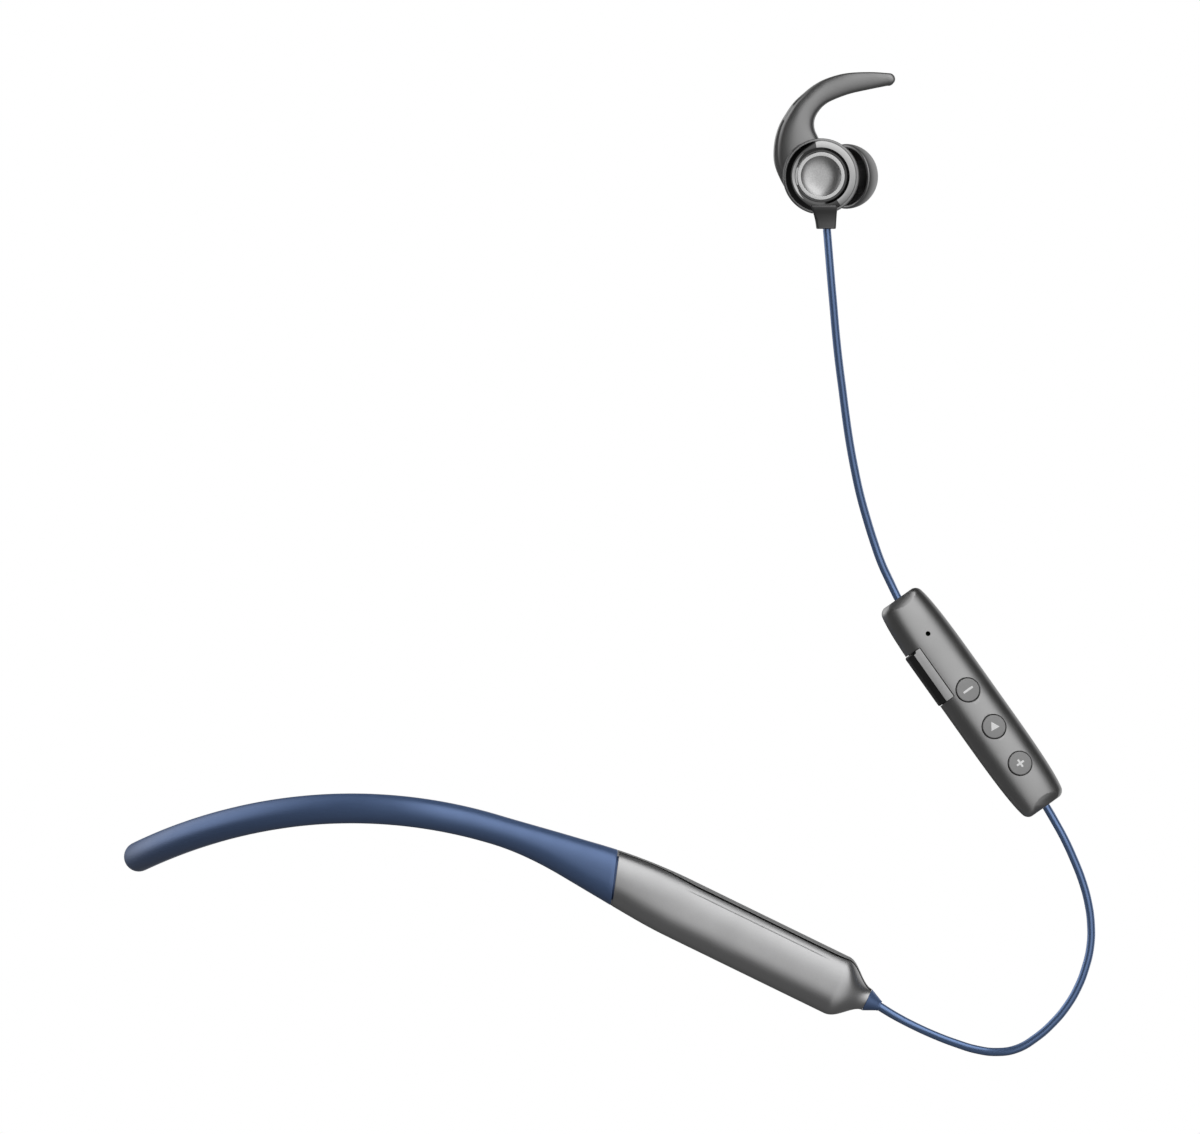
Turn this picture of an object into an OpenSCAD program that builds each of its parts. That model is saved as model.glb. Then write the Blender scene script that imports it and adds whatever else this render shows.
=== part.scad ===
// Neckband earphones: a silicone band round the nape, a pod at the end of each arm,
// a remote in the right-hand cord and an earbud with a wing on each cord.
// X points forward, Y to the wearer's left, Z up. The origin is on the band's inner
// face at the nape. The right-hand side is built, and the left is its mirror image.

/* [Neckband] */
// Diameter of the round band at the nape
band_d = 6; // [5:0.5:7]
// Half the distance between the two arms, centre to centre
arm_half_gap = 62; // [58:1:68]
// Radius of the long arch that the band follows, seen from the side
arch_r = 100; // [96:1:106]
// How far in front of the nape the arch is highest
arch_peak_x = 40; // [38:1:42]
// Where the band meets the pods, in front of the nape
seam_x = 92.5; // [90:0.5:95]

/* [Pods] */
// Length of a pod from the seam to the end of its nose
pod_length = 56; // [54:0.5:60]
// Height of a pod
pod_height = 12.4; // [11.5:0.1:13.5]
// Thickness of a pod
pod_thick = 9.6; // [9:0.1:11]
// Slope of the pod below the horizontal
pod_slope = 26; // [24:1:28]
// Wall of the pod shells
pod_wall = 1.1; // [0.9:0.1:1.3]

/* [Remote] */
// Length of the remote
remote_length = 51; // [50:0.5:54]
// Width of the remote at its middle
remote_width = 11.4; // [11:0.1:12]
// Thickness of the remote
remote_thick = 6.8; // [6.6:0.1:7.4]
// Diameter of the three buttons
button_d = 4.8; // [4.4:0.1:5]
// Distance from button to button
button_pitch = 9; // [8.5:0.5:9.5]
// Travel of a button
button_travel = 0.3; // [0.2:0.05:0.35]

/* [Earbud] */
// Diameter of the earbud's housing
bud_d = 14.4; // [14:0.1:15]
// Diameter of the dished cap
cap_d = 9.7; // [9:0.1:10]
// Diameter of the ear tip
tip_d = 12.8; // [12:0.1:13.5]
// Angle between the nozzle and the housing's axis
nozzle_angle = 42; // [38:1:45]

/* [Cords] */
// Diameter of the cords
cord_d = 1.6; // [1.4:0.1:1.8]

/* [Hidden] */
$fn = 64;

// ---- colours ----
blue = [0.20, 0.29, 0.47];
pod_grey = [0.47, 0.47, 0.47];
dark_grey = [0.20, 0.20, 0.20];
black = [0.05, 0.05, 0.05];
silver = [0.62, 0.62, 0.62];
board_green = [0.05, 0.30, 0.15];

// ---- general functions ----
function clamp01(t) = min(max(t, 0), 1);
function smooth(t) = let (c = clamp01(t)) c * c * (3 - 2 * c);
function mix(a, b, t) = a + (b - a) * t;
function unit(v) = v / norm(v);

// One point of a rounded section: power 2 is an ellipse, and a higher power is squarer.
function section_point(centre, side, up, half_w, top, bottom, power, angle) =
    let (c = cos(angle), s = sin(angle), height = s >= 0 ? top : bottom)
    centre + side * (half_w * sign(c) * pow(abs(c), 2 / power))
           + up * (height * sign(s) * pow(abs(s), 2 / power));

// Skin over closed rings with as many points each, and a flat cap at each end.
module skin(rings) {
    n = len(rings[0]);
    last = len(rings) - 1;
    walls = [for (k = [0:last - 1], i = [0:n - 1])
        [k * n + i, (k + 1) * n + i, (k + 1) * n + (i + 1) % n, k * n + (i + 1) % n]];
    caps = [[for (i = [0:n - 1]) i], [for (i = [n - 1:-1:0]) last * n + i]];
    polyhedron([for (ring = rings) each ring], concat(walls, caps), convexity = 6);
}

// Wall between an outer and an inner set of rings. Closed rings make a tube, and open
// arcs make half a casing.
module wall(outer, inner, closed) {
    n = len(outer[0]);
    last = len(outer) - 1;
    offset_in = n * len(outer);
    spans = closed ? n : n - 1;
    quads = [for (k = [0:last - 1], i = [0:spans - 1])
        [k * n + i, (k + 1) * n + i, (k + 1) * n + (i + 1) % n, k * n + (i + 1) % n]];
    outside = quads;
    inside = [for (q = quads) [for (j = [3:-1:0]) q[j] + offset_in]];
    ends = [for (i = [0:spans - 1]) let (j = (i + 1) % n, top = last * n) each [
        [i, j, j + offset_in, i + offset_in],
        [top + j, top + i, top + i + offset_in, top + j + offset_in]]];
    lips = closed ? [] : [for (k = [0:last - 1]) let (a = k * n, b = a + n, e = n - 1) each [
        [a, a + offset_in, b + offset_in, b],
        [a + e, b + e, b + e + offset_in, a + e + offset_in]]];
    points = [for (ring = concat(outer, inner)) each ring];
    polyhedron(points, concat(outside, inside, ends, lips), convexity = 8);
}

// Round tube swept along a route.
function route_tangent(route, k) =
    unit(route[min(k + 1, len(route) - 1)] - route[max(k - 1, 0)]);
function tube_rings(route, radius, sides) = [for (k = [0:len(route) - 1])
    let (t = route_tangent(route, k),
         side = unit(cross(abs(t[2]) > 0.9 ? [0, 1, 0] : [0, 0, 1], t)),
         up = cross(t, side))
    [for (i = [0:sides - 1]) let (a = 360 * i / sides)
        route[k] + side * (radius * cos(a)) + up * (radius * sin(a))]];
module tube(route, radius, sides = 8) skin(tube_rings(route, radius, sides));

module left_side() mirror([0, 1, 0]) children();

// ---- the line that band and pods follow ----
band_r = band_d / 2;
nape_x = -band_r;
arch_peak_z = arch_r - sqrt(arch_r ^ 2 - (arch_peak_x - nape_x) ^ 2);
tangent_x = arch_peak_x + arch_r * sin(pod_slope);
tangent_z = arch_peak_z - arch_r * (1 - cos(pod_slope));
function arch_z(x) = x < tangent_x
    ? arch_peak_z - arch_r + sqrt(arch_r ^ 2 - (x - arch_peak_x) ^ 2)
    : tangent_z - (x - tangent_x) * tan(pod_slope);
function arch_slope(x) = x < tangent_x ? asin((x - arch_peak_x) / arch_r) : pod_slope;

// Half sizes of the section grow from the round band to the pod.
flare_from_x = 69;
flare_to_x = 105;
pod_top = 0.555 * pod_height;
pod_bottom = pod_height - pod_top;
pod_power = 2.7;
function flare(x) = smooth((x - flare_from_x) / (flare_to_x - flare_from_x));
function half_width(x) = mix(band_r, pod_thick / 2, flare(x));
function half_top(x) = mix(band_r, pod_top, flare(x));
function half_bottom(x) = mix(band_r, pod_bottom, flare(x));
function power_at(x) = mix(2, pod_power, flare(x));

// The section planes turn from square-on to the steeper plane of the seam and back.
seam_lean = 7.5;
lean_blend = 16;
function lean_at(x) = mix(seam_lean, arch_slope(x), smooth(abs(x - seam_x) / lean_blend));
function stretch(x) = 1 / cos(arch_slope(x) - lean_at(x));

// ---- neckband ----
quarter_turn = arm_half_gap * PI / 2;
half_band = quarter_turn + seam_x - (arm_half_gap + nape_x);
band_rings = 26;
band_sides = 16;
channel_r = 1.7;

function band_angle(s) = sign(s) * min(abs(s) / arm_half_gap * 180 / PI, 90);
function band_x(s) = nape_x + arm_half_gap * (1 - cos(band_angle(s)))
    + max(abs(s) - quarter_turn, 0);
function band_centre(s) = let (x = band_x(s))
    [x, -arm_half_gap * sin(band_angle(s)), arch_z(x)];
function band_side(s) = [cos(band_angle(s)), sin(band_angle(s)), 0];
function band_up(s) = let (a = band_angle(s), rise = tan(lean_at(band_x(s))) * sin(a))
    unit([rise * sin(a), -rise * cos(a), 1]);
function band_section(s, shrink_to) = let (x = band_x(s), k = stretch(x))
    [for (i = [0:band_sides - 1]) let (angle = 360 * i / band_sides)
        shrink_to > 0
        ? section_point(band_centre(s), band_side(s), band_up(s),
                        shrink_to, shrink_to, shrink_to, 2, angle)
        : section_point(band_centre(s), band_side(s), band_up(s), half_width(x),
                        half_top(x) * k, half_bottom(x) * k, power_at(x), angle)];
band_steps = [for (k = [-band_rings:band_rings]) half_band * k / band_rings];

module neckband() color(blue)
    wall([for (s = band_steps) band_section(s, 0)],
         [for (s = band_steps) band_section(s, channel_r)], true);

// What runs inside the band's channel, a little above or below its centre.
wire_r = 0.6;
wire_off_centre = 0.8;
wire_overrun = 3;
module in_channel(height) {
    reach = half_band + wire_overrun;
    tube([for (k = [-band_rings:band_rings]) let (s = reach * k / band_rings)
        band_centre(s) + [0, 0, height]], wire_r);
}
module core_wire() color(silver) in_channel(wire_off_centre);
module link_cable() color(black) in_channel(-wire_off_centre);

// ---- pods ----
seam_gap = 0.25;
nose_length = 6.8;
nose_from = pod_length - nose_length;
nose_r = 2.35;
nose_lift = (pod_top - pod_bottom) / 2;
nose_hole_r = 0.9;
pod_arc = 10;
parting_at_edge = 97;
parting_off_edge = 33;
parting_bottom = 272;
body_steps = 9;
nose_steps = 7;

pod_axis = [cos(pod_slope), 0, -sin(pod_slope)];
pod_up = [sin(pod_slope), 0, cos(pod_slope)];
seam_centre = [seam_x, -arm_half_gap, arch_z(seam_x)];
function on_pod(a, across = 0, up = 0) = seam_centre + pod_axis * a + [0, across, 0] + pod_up * up;
// 1 along the body, falling to 0 at the end of the nose.
function nose(a) = 1 - smooth((a - nose_from) / nose_length);
// The parting line leaves the top edge behind the seam and comes back to it at the nose.
function parting_top(a) =
    parting_at_edge + parting_off_edge * smooth((a - 6) / 10) * nose(a + 3);
function pod_half(full, a, inset) = max(mix(nose_r, full, nose(a)) - inset,
                                        inset > 0 ? nose_hole_r : 0);
function pod_arc_points(a, inset, from, to) =
    let (c = on_pod(a, 0, nose_lift * (1 - nose(a))), x = c[0], lean = lean_at(x), k = stretch(x))
    [for (i = [0:pod_arc]) section_point(
        c, [0, 1, 0], [sin(lean), 0, cos(lean)],
        pod_half(half_width(x), a, inset),
        pod_half(half_top(x), a, inset) * k,
        pod_half(half_bottom(x), a, inset) * k,
        mix(2, power_at(x), nose(a)), mix(from, to, i / pod_arc))];
pod_steps = concat(
    [for (i = [0:body_steps]) mix(seam_gap, nose_from, i / body_steps)],
    [for (i = [1:nose_steps]) mix(nose_from, pod_length, i / nose_steps)]);
module pod_casing(from, to)
    wall([for (a = pod_steps) pod_arc_points(a, 0, from(a), to(a))],
         [for (a = pod_steps) pod_arc_points(a, pod_wall, from(a), to(a))], false);

module pod_outer_shell() color(pod_grey)
    pod_casing(function (a) parting_top(a), function (a) parting_bottom);
module pod_inner_shell() color(dark_grey)
    pod_casing(function (a) parting_bottom - 360, function (a) parting_top(a));

// A block inside a pod: where it starts behind the seam, how far it stands off the
// middle towards the outside, and its length, thickness and height.
inner_lift = 0.5;
module pod_block(from, outwards, size)
    translate(on_pod(from, -outwards, inner_lift)) rotate([0, pod_slope, 0])
        translate([0, -size[1] / 2, -size[2] / 2]) cube(size);

battery_from = 8;
battery_size = [36, 5.4, 7.6];
module battery() color(silver) pod_block(battery_from, 0, battery_size);

main_board_from = 7;
main_board_size = [38, 1, 7.4];
radio_chip = [6, 2.2, 6];
power_chip = [9, 1.6, 4];
module main_board() color(board_green) {
    pod_block(main_board_from, 0, main_board_size);
    pod_block(main_board_from + 6, radio_chip[1] / 2, radio_chip);
    pod_block(main_board_from + 18, power_chip[1] / 2, power_chip);
}

// Tapered blue sleeve that carries the cord out of the nose.
relief_length = 2.9;
relief_end_r = 1.1;
relief_plug = 3;
relief_plug_r = nose_hole_r - 0.05;
module pod_strain_relief() color(blue)
    translate(on_pod(pod_length, 0, nose_lift)) rotate([0, 90 + pod_slope, 0]) {
        cylinder(h = relief_length, r1 = nose_r, r2 = relief_end_r);
        translate([0, 0, -relief_plug]) cylinder(h = relief_plug + 0.1, r = relief_plug_r);
    }

// ---- cord routes: each starts at the lower end ----
lower_route = [
    [145.6, -62, -29.8], [149, -62, -31.9], [153, -62, -34], [157, -62.5, -35.8],
    [161, -63, -37.3], [165, -63.5, -38.5], [169, -64, -39], [173, -64.5, -38.4],
    [177, -65, -36.1], [180.4, -65.5, -33.1], [183, -66, -30], [185.2, -66.5, -26.3],
    [186.8, -67, -22.2], [187.8, -67.5, -17.8], [187.9, -68, -13.2], [187.3, -68.5, -8.9],
    [186.1, -69, -4.6], [184.4, -69.5, -0.3], [182.6, -70, 3.6], [180.8, -70, 6.9],
    [179, -70, 10]
];
upper_route = [
    [149.3, -70, 51.7], [147.8, -70, 54.8], [146, -70.5, 58.7], [144.4, -71, 63.2],
    [143, -72, 67.7], [141.7, -73, 72.4], [140.6, -74, 77.4], [139.6, -75, 82.8],
    [138.8, -76, 88.2], [138.1, -77, 93.6], [137.4, -78, 99], [136.8, -79, 104.6],
    [136.3, -80, 110.2], [135.8, -80.8, 115.8], [135.4, -81.2, 120.6], [135, -81.4, 125.4]
];
behind_remote = [
    [176, -70, 14.2], [173, -70, 18.4], [170, -70, 22.6], [167, -70, 26.8], [164, -70, 31],
    [161, -70, 35.2], [158, -70, 39.4], [155, -70, 43.7], [152, -70, 47.9]
];
module cord_lower_right() color(blue) tube(lower_route, cord_d / 2);
module cord_upper_right() color(blue) tube(upper_route, cord_d / 2);

// The left cord carries no remote and hangs a little further out than the right one: past
// its first few points, each lies further from a point near the top of the arch, the more
// so the further the point is to the side.
hang_centre = [66, 0, 8.5];
hang_out = 1 / 4950;
hang_up = 1 / 4450;
hang_blend = 5;
function hang(p) = let (v = p - hang_centre, side = abs(p[1]))
    [v[0] * side * hang_out, 0, v[2] * side * hang_up];
right_route = concat(lower_route, behind_remote, upper_route);
left_route = [for (k = [0:len(right_route) - 1])
    right_route[k] + hang(right_route[k]) * smooth(k / hang_blend)];
module cord_left() color(blue) left_side() tube(left_route, cord_d / 2);

// ---- remote: its own frame runs from its top end down along X, with Z out of its face ----
remote_top = upper_route[0];
remote_tilt = 54.6;
face_turn = 14;
remote_wall = 0.9;
remote_end_width = 8.4;
remote_end_thick = 4.6;
remote_power = 3;
remote_steps = 14;
remote_arc = 12;
button_x = 23;
mic_x = 9.2;
cover_x = 10.6;
cover_length = 11.8;
cover_depth = 2.8;
cover_out = 5.8;
cover_low = -2;
cover_gap = 0.2;
cover_free_gap = 0.3;
cover_clear = 0.1;

module on_remote()
    translate(remote_top) rotate([0, remote_tilt, 0]) rotate([90 - face_turn, 0, 0]) children();

// Share of its full size that the remote keeps at x: round shoulders, blunt ends.
swell_power = 4;
function swell(x) = let (t = clamp01(abs(2 * x / remote_length - 1))) sqrt(1 - pow(t, swell_power));
function remote_half(full, blunt, x, inset) = mix(blunt, full, swell(x)) / 2 - inset;
function remote_arc_points(x, inset, from, to) =
    let (w = remote_half(remote_width, remote_end_width, x, inset),
         t = remote_half(remote_thick, remote_end_thick, x, inset))
    [for (i = [0:remote_arc]) section_point(
        [x, 0, 0], [0, 1, 0], [0, 0, 1], w, t, t, remote_power, mix(from, to, i / remote_arc))];
// Stations crowd towards the two ends, where the outline bends.
function remote_station(k, inset) =
    mix(inset, remote_length - inset, (1 - cos(180 * k / remote_steps)) / 2);
module remote_solid(inset, from, to)
    skin([for (k = [0:remote_steps]) remote_arc_points(remote_station(k, inset), inset, from, to)]);
module port_recess()
    translate([cover_x - cover_free_gap, -remote_width, cover_low - cover_gap])
        cube([cover_length + cover_free_gap + cover_gap,
              remote_width + cover_depth + cover_clear - cover_out, remote_thick]);
function button_place(k) = [button_x + k * button_pitch, 0, 0];

button_r = button_d / 2;
button_gap = 0.1;
mic_hole_r = 0.5;
past_split = 1;
module remote_front_shell() color(dark_grey) on_remote() difference() {
    remote_solid(0, 0, 180);
    remote_solid(remote_wall, -past_split, 180 + past_split);
    port_recess();
    for (k = [0:2])
        translate(button_place(k)) cylinder(h = remote_thick, r = button_r + button_gap);
    translate([mic_x, 0, 0]) cylinder(h = remote_thick, r = mic_hole_r);
}
module remote_back_shell() color(dark_grey) on_remote() difference() {
    remote_solid(0, 180, 360);
    remote_solid(remote_wall, 180 - past_split, 360 + past_split);
    port_recess();
}

// Board, switches, microphone and socket, stacked up from the back shell.
board_z = -1.85;
board_margin = 5.8;
remote_board_size = [remote_length - 2 * board_margin, 4.8, 0.8];
board_top = board_z + remote_board_size[2];
switch_size = [3.2, 3.2, 1.5];
switch_h = 2.1;
switch_r = 0.8;
mic_size_r = 1.5;
mic_h = 1.1;
socket = [7.6, 5.2, 2.7];
socket_sheet = 0.3;
// The socket sits a little off the middle of its cover, clear of the nearest button.
socket_off_middle = 0.4;
socket_x = cover_x + cover_length / 2 - socket_off_middle;
socket_y = cover_depth - cover_out + 0.4;
module remote_board() color(board_green) on_remote()
    translate([board_margin, -remote_board_size[1] / 2 + 0.1, board_z]) cube(remote_board_size);
module tact_switches() color(silver) on_remote() for (k = [0:2])
    translate(button_place(k) + [0, 0, board_top]) {
        translate([-switch_size[0] / 2, -switch_size[1] / 2, 0]) cube(switch_size);
        cylinder(h = switch_h, r = switch_r);
    }
module microphone() color(silver) on_remote()
    translate([mic_x - 1.8, 0, board_top]) cylinder(h = mic_h, r = mic_size_r);
module charging_socket() color(silver) on_remote()
    translate([socket_x - socket[0] / 2, socket_y, board_top]) difference() {
        cube(socket);
        translate([socket_sheet, -0.1, socket_sheet])
            cube(socket - [2 * socket_sheet, 2 * socket_sheet, 2 * socket_sheet]);
    }

// Each button: a flat disc with a wider flange that holds it in, and a stem to its switch.
flange_z = 1.6;
flange_h = 0.35;
flange_r = button_r + 0.4;
button_top = remote_thick / 2 + 0.05;
stem_z = board_top + switch_h + button_travel + 0.02;
module button(k) color(dark_grey) on_remote() translate(button_place(k)) {
    translate([0, 0, flange_z]) cylinder(h = button_top - flange_z, r = button_r);
    translate([0, 0, flange_z]) cylinder(h = flange_h, r = flange_r);
    translate([0, 0, stem_z]) cylinder(h = flange_z - stem_z + 0.1, r = switch_r);
}
module minus_button() button(0);
module play_button() button(1);
module plus_button() button(2);

// Rubber cover over the charging socket: a flat front strip, flush with the face, a bevel
// to the outside, and a notch for a fingernail at its free end.
cover_inside = cover_depth - cover_out;
cover_lip_z = 3.1;
cover_ridge = [-4.85, 2.7];
notch_r = 0.5;
notch_in = 1.2;
module port_cover() color(black) on_remote() difference() {
    translate([cover_x, 0, 0]) rotate([90, 0, 90]) linear_extrude(cover_length)
        polygon([[cover_inside, cover_low], [cover_inside, cover_lip_z], cover_ridge,
                 [-cover_out, 1.5], [-cover_out, -1.2], [-5, cover_low]]);
    translate([cover_x, notch_in - cover_out, 0])
        cylinder(h = 2 * remote_thick, r = notch_r, center = true);
}

// ---- earbuds: the frame's Z runs along the housing's axis into the ear, Y points down ----
bud_place = [133.8, -85, 136];
bud_r = bud_d / 2;
cap_r = cap_d / 2;
neck_r = bud_r - 0.6;
sleeve_from = 3.2;
housing_end = 6.4;
bud_wall = 0.9;
nozzle_r = 2.6;
nozzle_z = 6;
nozzle_reach = 11.4;
nozzle_bore = 1.8;

// Width and thickness of the collar at its top and its lower end, and where they are.
collar_z = 3.6;
collar_top = [5.4, 4];
collar_bottom = [4.2, 3.4];
collar_top_x = 0.6;
collar_end_x = 1.1;
collar_from = 6;
collar_end = 10.5;
// The sleeve is open below, where the collar passes it.
collar_notch = [collar_top_x - collar_top[0] / 2 - 0.4, 0, 0];

module on_bud() translate(bud_place) rotate([-90, 0, 0]) children();
module left_ear() left_side() translate(hang(upper_route[len(upper_route) - 1])) children();
module on_nozzle() translate([0, 0, nozzle_z]) rotate([0, nozzle_angle, 0]) children();

module bud_cap() color(silver) on_bud() rotate_extrude()
    polygon([[0, 0.6], [3, 0.5], [3.8, 0.25], [cap_r - 0.75, 0.05], [cap_r - 0.2, 0],
             [cap_r, 0.2], [cap_r, 1], [0, 1]]);

module bud_housing() color(dark_grey) on_bud() rotate_extrude()
    polygon([[0, 1.05], [cap_r + 0.1, 1.05], [cap_r + 0.1, 0.4], [cap_r + 0.4, 0.3],
             [bud_r - 1, 1], [bud_r - 0.35, 1.7], [bud_r, 2.6], [bud_r, sleeve_from],
             [neck_r, sleeve_from], [neck_r, housing_end], [neck_r - bud_wall, housing_end],
             [neck_r - bud_wall, 2.4], [cap_r, 1.9], [0, 1.9]]);

// Front chamber with the angled nozzle, hollow all the way through.
module bud_front() color(dark_grey) on_bud() difference() {
    union() {
        translate([0, 0, housing_end]) rotate_extrude()
            polygon([[0, 0], [bud_r, 0], [bud_r - 0.2, 0.9], [bud_r - 1, 1.9],
                     [bud_r - 2.6, 2.7], [0, 2.7]]);
        on_nozzle() cylinder(h = nozzle_reach, r = nozzle_r);
    }
    rotate_extrude()
        polygon([[0, 0], [bud_r + 1, 0], [bud_r + 1, housing_end], [bud_r - 1, housing_end],
                 [bud_r - 1.8, housing_end + 1.1], [bud_r - 3.2, housing_end + 1.8],
                 [0, housing_end + 1.8]]);
    on_nozzle() cylinder(h = nozzle_reach + 1, r = nozzle_bore);
}

driver_from = 2.6;
magnet_r = 3.6;
magnet_h = 2.2;
basket_r = 5;
basket_h = 1.4;
module speaker_driver() color(silver) on_bud() translate([0, 0, driver_from]) {
    cylinder(h = magnet_h, r = magnet_r);
    translate([0, 0, magnet_h - 0.4]) cylinder(h = basket_h, r = basket_r);
}

module nozzle_mesh() color(silver) on_bud() on_nozzle()
    translate([0, 0, nozzle_reach - 0.5]) cylinder(h = 0.3, r = nozzle_bore - 0.02);

// Hooked wing: a tapering spine in the plane of the housing, with its half width at each point.
wing_spine = [
    [-3.2, -1, 5], [-4.9, -4.5, 4.7], [-5.1, -8.4, 4], [-4.4, -11.4, 3.1],
    [-3.3, -13.3, 2.7], [-1.5, -15.3, 2.4], [1, -17.1, 2.3], [3.9, -18.3, 2.15],
    [6.8, -18.9, 1.9], [10.2, -19.2, 1.6], [13.6, -19.5, 1.2], [14.8, -19.6, 0.8]
];
wing_z = 4.8;
wing_sides = 12;
wing_power = 2.2;
// The wing is thinner where it is narrower.
wing_tip_half = 0.8;
function wing_half_thick(p) = mix(0.9, 1.6, clamp01((p[2] - wing_tip_half) / 3));
function wing_point(k) = [wing_spine[k][0], wing_spine[k][1], wing_z];
wing_line = [for (k = [0:len(wing_spine) - 1]) wing_point(k)];
wing_rings = [for (k = [0:len(wing_spine) - 1])
    let (t = route_tangent(wing_line, k), side = cross([0, 0, 1], t), p = wing_spine[k])
    [for (i = [0:wing_sides - 1]) section_point(
        wing_line[k], side, [0, 0, 1], p[2], wing_half_thick(p), wing_half_thick(p),
        wing_power, 360 * i / wing_sides)]];
sleeve_r = bud_r + 0.4;
sleeve_clear = 0.02;
module ear_wing() color(dark_grey) on_bud() difference() {
    union() {
        translate([0, 0, sleeve_from + sleeve_clear])
            cylinder(h = housing_end - sleeve_from - 2 * sleeve_clear, r = sleeve_r);
        skin(wing_rings);
    }
    cylinder(h = 2 * housing_end, r = neck_r + sleeve_clear);
    translate(collar_notch) cube([collar_top[0] + 0.6, bud_d, 2 * housing_end]);
}

// Soft tip: a stem on the nozzle, folded back into a half-round skirt.
tip_r = tip_d / 2;
tip_rim = 7.6;
tip_skin = 0.7;
stem_r = nozzle_r + 0.75;
tip_clear = 0.06;
tip_stem_below = 1.2;
dome_steps = 9;
// The skirt's outside, from its rim to the mouth, then its inside back to the rim.
function dome(r, from, to) = [for (i = [0:dome_steps])
    let (a = mix(from, to, i / dome_steps)) [r * cos(a), tip_rim + r * sin(a)]];
module ear_tip() color(dark_grey) on_bud() on_nozzle() rotate_extrude()
    polygon(concat(
        dome(tip_r, 0, acos((nozzle_r + tip_clear) / tip_r)),
        [[nozzle_r + tip_clear, tip_rim - tip_stem_below], [stem_r, tip_rim - tip_stem_below]],
        dome(tip_r - tip_skin, acos(stem_r / (tip_r - tip_skin)), 0)));

// Collar that the cord leaves through, below the housing.
module collar_slab(x, y, section)
    translate([x, y, collar_z]) cube([section[0], 0.2, section[1]], center = true);
module cable_collar() color(black) on_bud() difference() {
    hull() {
        collar_slab(collar_top_x, collar_from, collar_top);
        collar_slab(collar_end_x, collar_end, collar_bottom);
    }
    cylinder(h = 2 * housing_end, r = bud_r + sleeve_clear);
}

// ---- what is drawn ----
neckband();
core_wire();
link_cable();
pod_outer_shell();  // pod_outer_shell_right
pod_inner_shell();  // pod_inner_shell_right
battery();
pod_strain_relief();  // pod_strain_relief_right
left_side() pod_outer_shell();  // pod_outer_shell_left
left_side() pod_inner_shell();  // pod_inner_shell_left
left_side() main_board();
left_side() pod_strain_relief();  // pod_strain_relief_left
cord_lower_right();
cord_upper_right();
cord_left();
remote_front_shell();
remote_back_shell();
remote_board();
tact_switches();
microphone();
charging_socket();
port_cover();
minus_button();
play_button();
plus_button();
bud_cap();  // bud_cap_right
bud_housing();  // bud_housing_right
bud_front();  // bud_front_right
speaker_driver();  // speaker_driver_right
nozzle_mesh();  // nozzle_mesh_right
ear_wing();  // ear_wing_right
ear_tip();  // ear_tip_right
cable_collar();  // cable_collar_right
left_ear() bud_cap();  // bud_cap_left
left_ear() bud_housing();  // bud_housing_left
left_ear() bud_front();  // bud_front_left
left_ear() speaker_driver();  // speaker_driver_left
left_ear() nozzle_mesh();  // nozzle_mesh_left
left_ear() ear_wing();  // ear_wing_left
left_ear() ear_tip();  // ear_tip_left
left_ear() cable_collar();  // cable_collar_left
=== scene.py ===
"""Neckband earphones: the looks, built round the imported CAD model.

Lengths are in metres. X points forward, Y to the wearer's left and Z up. Shapes are described
for the right-hand side, and a left-hand piece is the mirror image of its right-hand twin. Only
the left cord and earbud hang a little further out.
"""

import math

import bmesh
import bpy
from mathutils import Matrix, Vector


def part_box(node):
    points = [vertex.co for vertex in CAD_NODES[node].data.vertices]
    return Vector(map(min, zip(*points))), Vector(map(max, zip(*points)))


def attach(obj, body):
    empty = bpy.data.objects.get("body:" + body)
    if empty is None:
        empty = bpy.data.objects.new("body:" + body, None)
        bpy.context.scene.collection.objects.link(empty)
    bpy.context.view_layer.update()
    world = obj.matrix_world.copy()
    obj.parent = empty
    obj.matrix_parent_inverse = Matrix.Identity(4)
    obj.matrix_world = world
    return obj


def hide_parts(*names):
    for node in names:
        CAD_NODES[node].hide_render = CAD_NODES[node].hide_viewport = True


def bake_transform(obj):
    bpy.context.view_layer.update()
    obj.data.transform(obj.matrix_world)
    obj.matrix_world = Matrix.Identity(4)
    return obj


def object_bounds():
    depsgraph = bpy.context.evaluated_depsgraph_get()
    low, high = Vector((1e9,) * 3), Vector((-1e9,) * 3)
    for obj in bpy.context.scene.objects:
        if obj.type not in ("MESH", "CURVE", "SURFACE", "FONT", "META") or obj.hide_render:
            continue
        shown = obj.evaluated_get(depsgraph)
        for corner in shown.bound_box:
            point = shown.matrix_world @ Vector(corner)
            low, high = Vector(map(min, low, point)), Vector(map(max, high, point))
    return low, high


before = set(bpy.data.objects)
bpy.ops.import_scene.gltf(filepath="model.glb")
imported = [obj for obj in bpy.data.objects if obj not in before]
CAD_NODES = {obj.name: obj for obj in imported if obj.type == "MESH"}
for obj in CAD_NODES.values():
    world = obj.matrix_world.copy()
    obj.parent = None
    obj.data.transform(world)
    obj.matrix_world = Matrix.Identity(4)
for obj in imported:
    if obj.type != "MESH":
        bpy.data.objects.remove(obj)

MM = 0.001
CAD_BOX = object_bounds()
SIDES = ("right", "left")

# ---- camera: a long lens in line with the arms, so that the left side hides behind the right ----
PICTURE_WIDTH = 0.240
LENS = 1500.0
SENSOR = 36.0
NEAR_SIDE_Y = -0.070
PICTURE_CENTRE = Vector((0.0897, NEAR_SIDE_Y, 0.0580))
SIGHT_LINE = Vector((0.066, 0, 0.0085))


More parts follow.
